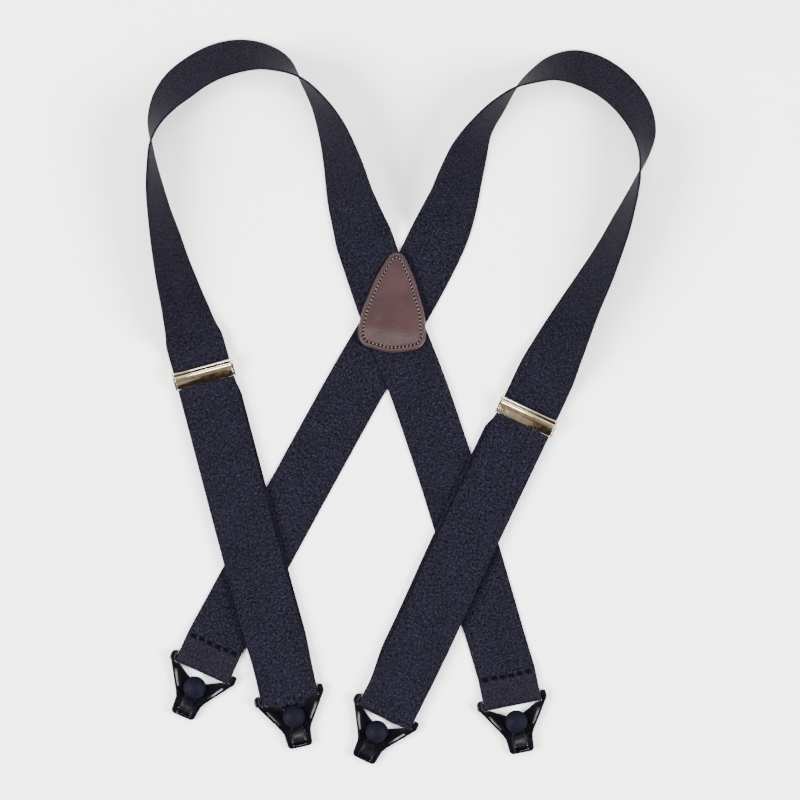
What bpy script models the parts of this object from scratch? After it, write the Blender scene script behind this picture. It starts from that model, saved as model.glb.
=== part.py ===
"""A pair of men's X-back suspenders, laid out on a table with both shoulder loops open.

Two elastic straps cross under a leather patch. At the back each strap is sewn round the bar of a
ball clip. At the front each strap runs through an adjuster, round the bar of another ball clip and
back up to the adjuster, so that moving the adjuster by two units moves the clip by one.

Metres, +Z up, table at z = 0. The clips point to -Y. Left and right are as seen from above.
"""

import math

import bmesh
import bpy
from mathutils import Matrix, Vector

MM = 0.001

# Driving dimensions
WEB_WIDTH = 0.038
WEB_THICK = 0.0015
GAP = 0.0003
LAYER = WEB_THICK + GAP
ROW_STEP = 0.007
WEB_COLUMNS = 2

BAR_RADIUS = 0.0015
LOOP_RADIUS = BAR_RADIUS + GAP + WEB_THICK / 2
BAR_HEIGHT = LOOP_RADIUS + WEB_THICK / 2
LOOP_STEPS = 10
LOOP_APPROACH = 0.012
HEM_TAIL = 0.021
HEM_STITCH_FROM_BAR = 0.0165
HEM_STITCHES = 7
HEM_STITCH_SPAN = 0.033
HEM_STITCH_DEPTH = 0.0022
THREAD_RADIUS = 0.0003

# The doubled front run: the tail lies over a crossing strap, and the main layer over the tail.
TAIL_LEVEL = 0.00325
TAIL_RISE_START = 0.003
TAIL_RISE_END = 0.033

# Middle line of each strap from its back clip to its front clip, in millimetres: x, y, the roll in
# degrees (0 flat, 90 on edge, over 90 leaning in over the loop) and the height of its lower edge.
LEFT_BACK = [
    (73.0, -194.3, 0, 1.8),
    (69.6, -177.5, 0, 1.8),
    (64.8, -161.1, 0, 0),
    (25.5, -30.1, 0, 0),
    (12.1, 9.2, 0, 1.8),
    (-8.5, 62.2, 0, 1.8),
    (-21.8, 101.5, 0, 1.8),
    (-27.1, 117.2, 22, 1.2),
    (-32.2, 133.0, 35, 0.6),
    (-37.8, 156.5, 48.5, 0),
    (-45.2, 180.1, 62.5, 0),
    (-52.9, 195.8, 74, 0),
    (-66.0, 213.3, 90, 0),
    (-76.3, 222.0, 107, 0),
    (-89.4, 227.0, 117, 0),
    (-105.1, 227.6, 125, 0),
    (-120.2, 224.0, 127.5, 0),
    (-140.5, 212.2, 127.5, 0),
    (-153.6, 199.1, 119, 0),
    (-160.5, 186.0, 106, 0),
    (-163.1, 171.0, 90, 0),
    (-162.4, 156.5, 82, 0),
    (-160.4, 140.8, 74, 0),
    (-157.5, 125.1, 67.5, 0),
    (-153.8, 109.4, 60, 0),
    (-148.0, 85.8, 50, 0),
    (-141.0, 62.2, 38, 1.5),
    (-136.8, 47.5, 24, 3.4),
    (-133.8, 37.2, 0, 5),
    (-128.8, 19.6, 0, 5),
]
LEFT_FRONT = [
    (-128.8, 19.6, 0, 5),
    (-82.3, -154.1, 0, 5),
    (-77.2, -172.0, 0, 5),
    (-72.9, -190.9, 0, 5),
]
RIGHT_BACK = [
    (-129.0, -172.9, 0, 1.8),
    (-121.6, -156.5, 0, 1.8),
    (-112.1, -139.0, 0, 0),
    (-31.1, 9.2, 0, 0),
    (21.1, 101.5, 0, 0),
    (28.3, 117.2, 15, 0),
    (34.5, 133.0, 31, 0),
    (39.3, 148.7, 41, 0),
    (44.8, 164.4, 51, 0),
    (52.4, 180.1, 65.5, 0),
    (64.9, 195.8, 77, 0),
    (75.6, 206.8, 90, 0),
    (89.2, 215.2, 106, 0),
    (99.2, 219.4, 115.5, 0),
    (113.6, 220.4, 126, 0),
    (128.7, 215.5, 130, 0),
    (145.1, 203.4, 128, 0),
    (154.9, 190.0, 123, 0),
    (159.2, 177.5, 114, 0),
    (159.2, 164.4, 101, 0),
    (156.2, 151.3, 90, 0),
    (147.0, 125.1, 74, 0),
    (133.1, 93.7, 61, 0),
    (116.4, 62.2, 45, 0),
    (102.9, 35.3, 26, 2),
    (90.3, 8.4, 0, 5),
    (82.6, -7.9, 0, 5),
]
RIGHT_FRONT = [
    (82.6, -7.9, 0, 5),
    (36.6, -105.0, 0, 5),
    (13.8, -155.0, 0, 5),
    (-9.4, -202.0, 0, 5),
]
# Moves the drawing so that the middle of its outline is at the origin.
CENTRE_SHIFT = Vector((-0.00057, -0.00169, 0))

# Leather patch, in millimetres in its own frame: a triangle with a round apex and full sides.
PATCH_CENTRE = Vector((-0.0043, 0.0664))
PATCH_TURN = math.radians(-3.7)
PATCH_BASE = 2 * LAYER
PATCH_THICK = 0.002
PATCH_STITCH_INSET = 3.3
APEX_Y = 26.5
APEX_RADIUS = 6.5
APEX_TURN = 27.5
PATCH_SIDE = [(20.9, -6.8, 40), (12.5, 16.6, 40)]
PATCH_CORNER = (12.6, -20.6)
PATCH_CORNER_RADIUS = 9.8
PATCH_CORNER_FROM = -78
PATCH_CORNER_TO = 7
PATCH_FOOT = (0, -33.5, 60)

# Ball clip, in millimetres in its own frame: bar along x at y = 0, tab towards -y.
CLIP_BASE = 0.3
CLIP_TOP = 4.9
BALL_Y = -13.8
BALL_HEIGHT = 6.2
BALL_RADIUS = 7.5
BALL_FLATTEN = 0.75
SOCKET_RADIUS = 7.95
SOCKET_FROM = -53
SOCKET_TO = 41
SHOULDER_INNER = 19.4
SHOULDER_OUTER = 23.0
SHOULDER_TOP = 3.4
SHOULDER_HEIGHT = 6.4
SHOULDER_STEP = 0.3
SHOULDER_FOOT = -3.7
TAB_HALF = 8.9
TAB_END = -34.6
TAB_END_HALF = 8.2
TAB_CORNER = 2.8
END_BAR = 1.3
SLOT_HALF = 4.5
SLIT_CORNERS = [
    (17.9, -6.6, 0.5),
    (11.3, -17.6, 0.5),
    (10.1, -17.0, 0.4),
    (16.4, -6.4, 0.4),
]
BRIDGE_HALF = 5.4
BRIDGE_FROM = -27.4
BRIDGE_TO = -20.6
BRIDGE_TOP = 1.5
STEM_HALF = 4.1
STEM_NECK_HALF = 2.9
STEM_SHOULDER = -21.0
STEM_END = -16.0
STEM_BASE = 1.9
STEM_TOP = 5.0
CLIP_PIN_Y = -30.6
CLIP_PIN_HEIGHT = 2.9
CLIP_PIN_RADIUS = 0.7
CLIP_PIN_HALF = 7.6
CLIP_KNUCKLE_RADIUS = 2.4

# Adjuster, in millimetres in its own frame: y up the strap, z above the table.
EAR_INNER = 19.4
EAR_THICK = 0.9
EAR_PROFILE = [
    (-6.2, 1.8, 0.6),
    (6.2, 1.8, 0.6),
    (6.2, 9.9, 1.6),
    (2.4, 9.9, 1.6),
    (-6.2, 7.0, 1.2),
]
CRIMP_LOW = 1.8
CRIMP_HIGH = 4.7
CRIMP_MOUTH = -5.0
CRIMP_BACK = 3.6
SHEET_METAL = 0.5
LEVER_HALF = 18.9
LEVER_PLATE = [(-3.2, 9.2), (-5.6, 8.2), (-6.4, 6.8), (-5.7, 6.8), (-4.9, 7.7), (-3.0, 8.4)]
ADJUSTER_PIN_Y = 4.2
ADJUSTER_PIN_HEIGHT = 8.2
ADJUSTER_PIN_RADIUS = 0.65
ADJUSTER_PIN_HALF = 20.7
LEVER_KNUCKLE_RADIUS = 1.35
TAIL_END_ABOVE_ADJUSTER = 2.6


def clear_scene():
    for obj in list(bpy.data.objects):
        bpy.data.objects.remove(obj)


def collection(name):
    found = bpy.data.collections.new(name)
    bpy.context.scene.collection.children.link(found)
    return found


def material(name, colour, roughness, metallic=0.0):
    made = bpy.data.materials.new(name)
    made.use_nodes = True
    shader = made.node_tree.nodes["Principled BSDF"]
    shader.inputs["Base Color"].default_value = (*colour, 1)
    shader.inputs["Roughness"].default_value = roughness
    shader.inputs["Metallic"].default_value = metallic
    return made


def smoothstep(t):
    t = min(max(t, 0.0), 1.0)
    return t * t * (3 - 2 * t)


class Route:
    """A smooth line through stations of x, y, roll and lift, measured along its length."""

    def __init__(self, stations, loop_side):
        self.points = [Vector((x, y)) * MM for x, y, _, _ in stations]
        self.rolls = [math.radians(float(roll)) for _, _, roll, _ in stations]
        self.lifts = [lift * MM for _, _, _, lift in stations]
        self.loop_side = loop_side
        self.at = [0.0]
        for a, b in zip(self.points, self.points[1:]):
            self.at.append(self.at[-1] + (b - a).length)
        self.length = self.at[-1]

    def slope(self, values, i):
        last = len(values) - 1
        if i in (0, last):
            k = min(i, last - 1)
            return (values[k + 1] - values[k]) / (self.at[k + 1] - self.at[k])
        before = self.at[i] - self.at[i - 1]
        after = self.at[i + 1] - self.at[i]
        left = (values[i] - values[i - 1]) / before
        right = (values[i + 1] - values[i]) / after
        if isinstance(left, float) and left * right <= 0:
            return 0.0
        return (left * after + right * before) / (before + after)

    def place(self, s):
        """Piece number and share of it at distance s."""
        s = min(max(s, 0.0), self.length)
        i = 0
        while i < len(self.at) - 2 and s > self.at[i + 1]:
            i += 1
        return i, (s - self.at[i]) / (self.at[i + 1] - self.at[i])

    def smooth(self, values, s):
        i, t = self.place(s)
        span = self.at[i + 1] - self.at[i]
        start = self.slope(values, i) * span
        end = self.slope(values, i + 1) * span
        a, b = values[i], values[i + 1]
        cubic = (
            a * (2 * t**3 - 3 * t**2 + 1)
            + start * (t**3 - 2 * t**2 + t)
            + b * (3 * t**2 - 2 * t**3)
            + end * (t**3 - t**2)
        )
        return cubic

    def direction(self, s):
        step = 0.0005
        ahead = self.smooth(self.points, min(s + step, self.length))
        behind = self.smooth(self.points, max(s - step, 0.0))
        return (ahead - behind).normalized()

    def outward(self, s):
        """Level direction across the strap, away from its loop."""
        along = self.direction(s)
        return Vector((along.y, -along.x, 0)) * self.loop_side

    def row(self, s):
        """Centre of the webbing and its direction across, at distance s."""
        point = self.smooth(self.points, s)
        roll = self.smooth(self.rolls, s)
        lift = self.smooth(self.lifts, s)
        height = lift + WEB_THICK / 2 + WEB_WIDTH / 2 * abs(math.sin(roll))
        across = self.outward(s) * math.cos(roll) + Vector((0, 0, math.sin(roll)))
        return Vector((*point, height)), across

    def rows(self):
        count = math.ceil(self.length / ROW_STEP)
        return [self.row(self.length * i / count) for i in range(count + 1)]


def loop_rows(bar, outward_end, across):
    """Webbing from the top of a clip's bar, round it to the underside."""
    rows = []
    for i in range(1, LOOP_STEPS + 1):
        turn = math.pi * i / LOOP_STEPS
        along = outward_end * (LOOP_RADIUS * math.sin(turn))
        height = BAR_HEIGHT + LOOP_RADIUS * math.cos(turn)
        rows.append((Vector((bar.x, bar.y, height)) + along, across))
    return rows


def tail_rows(bar, outward_end, across, length, level):
    """Webbing from under the bar back up below the main layer, to the given length and level."""
    rows = []
    count = math.ceil(length / ROW_STEP)
    for i in range(1, count + 1):
        back = length * i / count
        share = (back - TAIL_RISE_START) / (TAIL_RISE_END - TAIL_RISE_START)
        height = WEB_THICK / 2 + (level - WEB_THICK / 2) * smoothstep(share)
        rows.append((Vector((bar.x, bar.y, height)) - outward_end * back, across))
    return rows


def raised_to_bar(rows, bar):
    """Lifts the rows near a clip so that the webbing meets the top of its loop."""
    top = BAR_HEIGHT + LOOP_RADIUS
    raised = []
    for centre, across in rows:
        near = smoothstep(1 - (centre.xy - bar).length / LOOP_APPROACH)
        height = centre.z + (top - centre.z) * near
        raised.append((Vector((centre.x, centre.y, height)), across))
    return raised


def webbing(name, rows, look, home):
    """A strip that follows the rows, thickened to the webbing's thickness."""
    mesh = bpy.data.meshes.new(name)
    grid = bmesh.new()
    bmesh.ops.create_grid(grid, x_segments=len(rows) - 1, y_segments=WEB_COLUMNS, size=1)
    for vert in grid.verts:
        centre, across = rows[round((vert.co.x + 1) / 2 * (len(rows) - 1))]
        vert.co = centre + across * (vert.co.y * WEB_WIDTH / 2) + CENTRE_SHIFT
    grid.to_mesh(mesh)
    grid.free()
    mesh.shade_smooth()
    obj = bpy.data.objects.new(name, mesh)
    home.objects.link(obj)
    thick = obj.modifiers.new("Thickness", "SOLIDIFY")
    thick.thickness = WEB_THICK
    thick.offset = 0
    mesh.materials.append(look)
    return obj


def as_mesh(obj):
    """The object's shape with its modifiers, as a closed mesh, and the object removed."""
    bpy.context.view_layer.update()
    graph = bpy.context.evaluated_depsgraph_get()
    mesh = bpy.data.meshes.new_from_object(obj.evaluated_get(graph))
    shape = bmesh.new()
    shape.from_mesh(mesh)
    bmesh.ops.remove_doubles(shape, verts=shape.verts, dist=1e-6)
    bmesh.ops.recalc_face_normals(shape, faces=shape.faces)
    shape.to_mesh(mesh)
    shape.free()
    bpy.data.objects.remove(obj)
    return mesh


def arc(x, y, radius, start, end, steps):
    """Points on a circle from one angle to another, in degrees."""
    turns = [math.radians(start + (end - start) * i / steps) for i in range(steps + 1)]
    return [(x + radius * math.cos(a), y + radius * math.sin(a)) for a in turns]


def circle(x, y, radius, steps=16):
    return arc(x, y, radius, 0, 360, steps)[:-1]


def rounded(corners, steps=4):
    """An outline through corners of x, y and radius, each corner rounded by its radius."""
    outline = []
    for i, (x, y, radius) in enumerate(corners):
        here = Vector((x, y))
        back = Vector(corners[i - 1][:2]) - here
        ahead = Vector(corners[(i + 1) % len(corners)][:2]) - here
        if radius == 0:
            outline.append((x, y))
            continue
        half = back.angle(ahead) / 2
        reach = min(radius / math.tan(half), back.length * 0.45, ahead.length * 0.45)
        start = here + back.normalized() * reach
        end = here + ahead.normalized() * reach
        for k in range(steps + 1):
            t = k / steps
            outline.append(tuple(start * (1 - t) ** 2 + here * (2 * t * (1 - t)) + end * t**2))
    return outline


def mirrored(outline):
    return [(-x, y) for x, y in outline]


def plate(outlines, low, high):
    """A plate between two heights with the given outlines and holes, all in millimetres."""
    curve = bpy.data.curves.new("plate", "CURVE")
    curve.dimensions = "2D"
    curve.fill_mode = "BOTH"
    curve.extrude = (high - low) / 2 * MM
    for outline in outlines:
        spline = curve.splines.new("POLY")
        spline.points.add(len(outline) - 1)
        for point, (x, y) in zip(spline.points, outline):
            point.co = (x * MM, y * MM, 0, 1)
        spline.use_cyclic_u = True
    obj = bpy.data.objects.new("plate", curve)
    bpy.context.scene.collection.objects.link(obj)
    mesh = as_mesh(obj)
    mesh.transform(Matrix.Translation((0, 0, (low + high) / 2 * MM)))
    return mesh


def side_plate(outlines, low, high):
    """A plate whose outlines are y and z, between two places across x."""
    mesh = plate(outlines, low, high)
    mesh.transform(Matrix(((0, 0, 1, 0), (1, 0, 0, 0), (0, 1, 0, 0), (0, 0, 0, 1))))
    return mesh


def cross_rod(y, z, radius, half_length, sides=16):
    """A round rod across x, in millimetres."""
    mesh = bpy.data.meshes.new("rod")
    rod = bmesh.new()
    turned = Matrix.Translation((0, y * MM, z * MM)) @ Matrix.Rotation(math.pi / 2, 4, "Y")
    bmesh.ops.create_cone(
        rod,
        cap_ends=True,
        segments=sides,
        radius1=radius * MM,
        radius2=radius * MM,
        depth=2 * half_length * MM,
        matrix=turned,
    )
    rod.to_mesh(mesh)
    rod.free()
    return mesh


def ball(y, z, radius, flatten):
    mesh = bpy.data.meshes.new("ball")
    shape = bmesh.new()
    squashed = Matrix.Diagonal((1, 1, flatten, 1))
    moved = Matrix.Translation((0, y * MM, z * MM)) @ squashed
    bmesh.ops.create_uvsphere(shape, u_segments=20, v_segments=12, radius=radius * MM, matrix=moved)
    shape.to_mesh(mesh)
    shape.free()
    return mesh


def combined(base, others, operation):
    """The base mesh joined with, or cut by, the other meshes."""
    obj = bpy.data.objects.new("base", base)
    bpy.context.scene.collection.objects.link(obj)
    helpers = []
    for mesh in others:
        helper = bpy.data.objects.new("helper", mesh)
        bpy.context.scene.collection.objects.link(helper)
        helper.hide_render = True
        helper.display_type = "WIRE"
        boolean = obj.modifiers.new("Join", "BOOLEAN")
        boolean.operation = operation
        boolean.object = helper
        helpers.append(helper)
    mesh = as_mesh(obj)
    for helper in helpers:
        bpy.data.objects.remove(helper)
    return mesh


def rectangle(half, y_from, y_to):
    return [(half, y_from), (half, y_to), (-half, y_to), (-half, y_from)]


def clip_frame_mesh():
    """Two side frames with their open slits, joined by the bar, a bridge under the stem and an end bar."""
    side = rounded([
        (SHOULDER_INNER, SHOULDER_FOOT, 0),
        (SHOULDER_INNER, SHOULDER_TOP, 0.6),
        (SHOULDER_OUTER - 0.2, SHOULDER_TOP, 2.4),
        (SHOULDER_OUTER, -1.6, 2.6),
        (10.5, -20.8, 2.0),
        (TAB_HALF, -24.2, 2.0),
    ])
    side += arc(TAB_END_HALF - TAB_CORNER, TAB_END + TAB_CORNER, TAB_CORNER, 0, -90, 4)
    side += [(SLOT_HALF, TAB_END)]
    side += arc(0, BALL_Y, SOCKET_RADIUS, SOCKET_FROM, SOCKET_TO, 8)
    side += [(15.2, SHOULDER_FOOT)]
    slit = rounded(SLIT_CORNERS, 2)
    shoulder = rounded([
        (SHOULDER_INNER, SHOULDER_FOOT + SHOULDER_STEP, 0.8),
        (SHOULDER_INNER, SHOULDER_TOP - SHOULDER_STEP, 0.8),
        (SHOULDER_OUTER - SHOULDER_STEP, SHOULDER_TOP - SHOULDER_STEP, 2.4),
        (SHOULDER_OUTER - SHOULDER_STEP, SHOULDER_FOOT + SHOULDER_STEP, 1.8),
    ], 4)
    shoulders = plate([shoulder, mirrored(shoulder)], CLIP_BASE + SHOULDER_STEP, SHOULDER_HEIGHT)
    sides = plate([side, slit, mirrored(side), mirrored(slit)], CLIP_BASE, CLIP_TOP)
    bridge = plate([rectangle(BRIDGE_HALF, BRIDGE_FROM, BRIDGE_TO)], CLIP_BASE, BRIDGE_TOP)
    end_bar = plate([rectangle(BRIDGE_HALF, TAB_END, TAB_END + END_BAR)], CLIP_BASE, CLIP_TOP)
    bar = cross_rod(0, BAR_HEIGHT / MM, BAR_RADIUS / MM, SHOULDER_INNER + 1)
    joined = combined(sides, [shoulders, bridge, end_bar, bar], "UNION")
    pin_hole = cross_rod(CLIP_PIN_Y, CLIP_PIN_HEIGHT, CLIP_PIN_RADIUS + GAP / MM, TAB_HALF + 2, 12)
    return combined(joined, [pin_hole], "DIFFERENCE")


def clip_tongue_mesh():
    """The sprung tongue: a hinge knuckle, a stem and the ball that presses cloth into the frame."""
    stem = plate([rounded([
        (STEM_HALF, CLIP_PIN_Y, 0),
        (STEM_HALF, STEM_SHOULDER, 1.5),
        (STEM_NECK_HALF, STEM_END, 0),
        (-STEM_NECK_HALF, STEM_END, 0),
        (-STEM_HALF, STEM_SHOULDER, 1.5),
        (-STEM_HALF, CLIP_PIN_Y, 0),
    ])], STEM_BASE, STEM_TOP)
    knuckle = cross_rod(CLIP_PIN_Y, CLIP_PIN_HEIGHT, CLIP_KNUCKLE_RADIUS, STEM_HALF)
    dome = ball(BALL_Y, BALL_HEIGHT, BALL_RADIUS, BALL_FLATTEN)
    joined = combined(stem, [knuckle, dome], "UNION")
    pin_hole = cross_rod(CLIP_PIN_Y, CLIP_PIN_HEIGHT, CLIP_PIN_RADIUS + GAP / MM, STEM_HALF + 2, 12)
    return combined(joined, [pin_hole], "DIFFERENCE")


def adjuster_frame_mesh():
    """Two upright ears joined by the folded crimp that holds the end of the webbing's tail."""
    ear = rounded(EAR_PROFILE, 3)
    hole = circle(ADJUSTER_PIN_Y, ADJUSTER_PIN_HEIGHT, ADJUSTER_PIN_RADIUS + GAP / MM, 12)
    right = side_plate([ear, hole], EAR_INNER, EAR_INNER + EAR_THICK)
    left = side_plate([ear, hole], -EAR_INNER - EAR_THICK, -EAR_INNER)
    inside_low = CRIMP_LOW + SHEET_METAL
    inside_high = CRIMP_HIGH - SHEET_METAL
    inside_back = CRIMP_BACK - SHEET_METAL
    fold = [
        (CRIMP_MOUTH, CRIMP_LOW),
        (CRIMP_BACK, CRIMP_LOW),
        (CRIMP_BACK, CRIMP_HIGH),
        (CRIMP_MOUTH, CRIMP_HIGH),
        (CRIMP_MOUTH, inside_high),
        (inside_back, inside_high),
        (inside_back, inside_low),
        (CRIMP_MOUTH, inside_low),
    ]
    crimp = side_plate([fold], -EAR_INNER - EAR_THICK / 2, EAR_INNER + EAR_THICK / 2)
    return combined(crimp, [left, right], "UNION")


def adjuster_lever_mesh():
    """The cover plate: a knuckle round the pin, a flat face and a lip that bites the webbing."""
    profile = arc(ADJUSTER_PIN_Y, ADJUSTER_PIN_HEIGHT, LEVER_KNUCKLE_RADIUS, -150, 90, 10) + LEVER_PLATE
    hole = circle(ADJUSTER_PIN_Y, ADJUSTER_PIN_HEIGHT, ADJUSTER_PIN_RADIUS + GAP / MM, 12)
    return side_plate([profile, hole], -LEVER_HALF, LEVER_HALF)


def empty_at(name, position, parent, up_strap=None):
    """An empty, turned so that its y runs up the strap, that holds the pieces of one body."""
    empty = bpy.data.objects.new(name, None)
    bpy.context.scene.collection.objects.link(empty)
    empty.empty_display_size = 0.01
    empty.parent = parent
    empty.location = position
    if up_strap is not None:
        empty.rotation_euler.z = math.atan2(-up_strap.x, up_strap.y)
    return empty


def piece(name, mesh, holder, look, home):
    """An object that shares a mesh drawn round the holder's parent point."""
    obj = bpy.data.objects.new(name, mesh)
    home.objects.link(obj)
    obj.parent = holder
    if not mesh.materials:
        mesh.materials.append(look)
    return obj


def shifted(mesh, y, z):
    """The mesh with its origin moved to a joint's axis."""
    mesh.transform(Matrix.Translation((0, -y * MM, -z * MM)))
    mesh.shade_smooth()
    mesh.set_sharp_from_angle(angle=math.radians(35))
    return mesh


def make_clips(ends, looks, home):
    """The four ball clips. Each end gives a name, the bar's place and the way up its strap."""
    bar_mm = BAR_HEIGHT / MM
    pin_height = CLIP_PIN_HEIGHT
    frame = shifted(clip_frame_mesh(), 0, bar_mm)
    tongue = shifted(clip_tongue_mesh(), CLIP_PIN_Y, pin_height)
    pin_rod = cross_rod(CLIP_PIN_Y, pin_height, CLIP_PIN_RADIUS, CLIP_PIN_HALF, 12)
    pin = shifted(pin_rod, 0, bar_mm)
    for name, bar, up_strap in ends:
        place = Vector((bar.x, bar.y, BAR_HEIGHT)) + CENTRE_SHIFT
        swing = empty_at(f"{name}_swing_axis", place, None, up_strap)
        drop = (pin_height - bar_mm) * MM
        hinge = empty_at(f"{name}_tongue_axis", Vector((0, CLIP_PIN_Y * MM, drop)), swing)
        piece(f"{name}_frame", frame, swing, looks["clip"], home)
        piece(f"{name}_hinge_pin", pin, swing, looks["pin"], home)
        piece(f"{name}_tongue", tongue, hinge, looks["ball"], home)


def make_adjusters(places, looks, home):
    """The two adjusters. Each place gives a name, a point on the strap and the way up the strap."""
    frame = shifted(adjuster_frame_mesh(), 0, 0)
    pin_rod = cross_rod(ADJUSTER_PIN_Y, ADJUSTER_PIN_HEIGHT, ADJUSTER_PIN_RADIUS, ADJUSTER_PIN_HALF, 12)
    pin = shifted(pin_rod, 0, 0)
    lever = shifted(adjuster_lever_mesh(), ADJUSTER_PIN_Y, ADJUSTER_PIN_HEIGHT)
    for name, point, up_strap in places:
        place = Vector((point.x, point.y, 0)) + CENTRE_SHIFT
        slide = empty_at(f"{name}_slide", place, None, up_strap)
        pin_place = Vector((0, ADJUSTER_PIN_Y * MM, ADJUSTER_PIN_HEIGHT * MM))
        hinge = empty_at(f"{name}_lever_axis", pin_place, slide)
        piece(f"{name}_frame", frame, slide, looks["metal"], home)
        piece(f"{name}_pin", pin, slide, looks["metal"], home)
        piece(f"{name}_lever", lever, hinge, looks["metal"], home)


def patch_outline(inset):
    """The rounded triangle, drawn in by a distance on every side."""
    corner = arc(*PATCH_CORNER, PATCH_CORNER_RADIUS, PATCH_CORNER_FROM, PATCH_CORNER_TO, 6)
    right = [(x, y, 0) for x, y in corner] + PATCH_SIDE
    left = [(-x, y, radius) for x, y, radius in reversed(right)]
    apex = arc(0, APEX_Y, APEX_RADIUS, APEX_TURN, 180 - APEX_TURN, 8)
    outline = rounded([PATCH_FOOT, *right, *[(x, y, 0) for x, y in apex], *left], 5)
    drawn = []
    for i, point in enumerate(outline):
        along = Vector(outline[(i + 1) % len(outline)]) - Vector(outline[i - 1])
        inward = Vector((-along.y, along.x)).normalized()
        drawn.append(tuple(Vector(point) + inward * inset))
    return drawn


def make_patch(looks, home):
    holder = empty_at("patch_place", Vector((*PATCH_CENTRE, 0)) + CENTRE_SHIFT, None)
    holder.rotation_euler.z = PATCH_TURN
    low = PATCH_BASE / MM
    leather = plate([patch_outline(0)], low, low + PATCH_THICK / MM)
    patch = piece("back_patch", leather, holder, looks["leather"], home)
    edge = patch.modifiers.new("Rounded edge", "BEVEL")
    edge.width = 0.0005
    edge.segments = 1
    edge.limit_method = "ANGLE"
    seam = patch_outline(PATCH_STITCH_INSET)
    height = PATCH_BASE + PATCH_THICK + GAP + THREAD_RADIUS
    route = [Vector((x * MM, y * MM, height)) for x, y in seam]
    make_thread("back_patch_stitching", route, True, holder, looks["light_thread"], home)


def make_thread(name, route, closed, holder, look, home):
    curve = bpy.data.curves.new(name, "CURVE")
    curve.dimensions = "3D"
    curve.bevel_depth = THREAD_RADIUS
    curve.bevel_resolution = 0
    curve.use_fill_caps = True
    spline = curve.splines.new("POLY")
    spline.points.add(len(route) - 1)
    for point, place in zip(spline.points, route):
        point.co = (*place, 1)
    spline.use_cyclic_u = closed
    obj = bpy.data.objects.new(name, curve)
    home.objects.link(obj)
    obj.parent = holder
    curve.materials.append(look)


def make_hem_thread(name, bar, up_strap, looks, home):
    """A zigzag row across the sewn end of a back strap."""
    place = Vector((bar.x, bar.y, 0)) + CENTRE_SHIFT
    holder = empty_at(f"{name}_place", place, None, up_strap)
    height = LAYER + WEB_THICK + GAP + THREAD_RADIUS
    route = []
    points = 2 * HEM_STITCHES
    for i in range(points + 1):
        x = HEM_STITCH_SPAN * (i / points - 0.5)
        y = HEM_STITCH_FROM_BAR + HEM_STITCH_DEPTH * ((i % 2) - 0.5)
        route.append(Vector((x, y, height)))
    make_thread(name, route, False, holder, looks["dark_thread"], home)


def make_strap(name, back, front, loop_side, looks, home):
    """One strap: the long run from its back clip to the adjuster, and the doubled front run."""
    long_run = Route(back, loop_side)
    front_run = Route(front, loop_side)

    back_bar = long_run.points[0]
    back_end = Vector((*-long_run.direction(0), 0))
    first = raised_to_bar(long_run.rows(), back_bar)
    across = first[0][1]
    under = tail_rows(back_bar, back_end, across, HEM_TAIL, WEB_THICK / 2)
    hem = list(reversed(loop_rows(back_bar, back_end, across) + under))
    first[-1] = long_run.row(long_run.length - GAP)
    webbing(name, hem + first, looks["webbing"], home)

    front_bar = front_run.points[-1]
    front_end = Vector((*front_run.direction(front_run.length), 0))
    main = raised_to_bar(front_run.rows(), front_bar)
    across = main[-1][1]
    rows = main + loop_rows(front_bar, front_end, across) + doubled_tail(front_run)
    webbing(f"{name}_front", rows, looks["webbing"], home)

    up_back = -back_end
    up_front = -front_end
    up_adjuster = Vector((*-front_run.direction(0), 0))
    return (back_bar, up_back), (front_bar, up_front), (front_run.points[0], up_adjuster)


def doubled_tail(run):
    """The tail of the front run, under its main layer from the clip's bar up to the adjuster."""
    length = run.length + TAIL_END_ABOVE_ADJUSTER * MM
    count = math.ceil(length / ROW_STEP)
    up_strap = -run.direction(0)
    rows = []
    for i in range(1, count + 1):
        back = length * i / count
        centre, across = run.row(run.length - back)
        past_start = max(back - run.length, 0.0)
        place = centre.xy + up_strap * past_start
        share = (back - TAIL_RISE_START) / (TAIL_RISE_END - TAIL_RISE_START)
        height = WEB_THICK / 2 + (TAIL_LEVEL - WEB_THICK / 2) * smoothstep(share)
        rows.append((Vector((*place, height)), across))
    return rows


def main():
    clear_scene()
    home = collection("suspenders")
    looks = {
        "webbing": material("elastic_webbing", (0.020, 0.020, 0.028), 0.85),
        "leather": material("brown_leather", (0.23, 0.085, 0.05), 0.45),
        "light_thread": material("tan_thread", (0.55, 0.38, 0.28), 0.7),
        "dark_thread": material("black_thread", (0.008, 0.008, 0.012), 0.7),
        "metal": material("plated_steel", (0.80, 0.76, 0.68), 0.18, 1.0),
        "clip": material("glossy_black_plastic", (0.012, 0.012, 0.016), 0.22),
        "ball": material("satin_black_plastic", (0.016, 0.016, 0.022), 0.45),
        "pin": material("steel_pin", (0.45, 0.45, 0.46), 0.3, 1.0),
    }
    left = make_strap("strap_left", LEFT_BACK, LEFT_FRONT, 1, looks, home)
    right = make_strap("strap_right", RIGHT_BACK, RIGHT_FRONT, -1, looks, home)
    make_clips([
        ("clip_back_right", *left[0]),
        ("clip_front_left", *left[1]),
        ("clip_back_left", *right[0]),
        ("clip_front_right", *right[1]),
    ], looks, home)
    make_adjusters([("adjuster_left", *left[2]), ("adjuster_right", *right[2])], looks, home)
    make_hem_thread("hem_stitching_right", *left[0], looks, home)
    make_hem_thread("hem_stitching_left", *right[0], looks, home)
    make_patch(looks, home)


main()
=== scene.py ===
"""The looks of the suspenders: webbing, leather, plated adjusters and moulded clips, on a table.

Metres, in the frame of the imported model: +Y towards the shoulder loops, +Z up, table at z = 0.
"""

import math

import bmesh
import bpy
from mathutils import Matrix, Vector


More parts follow.
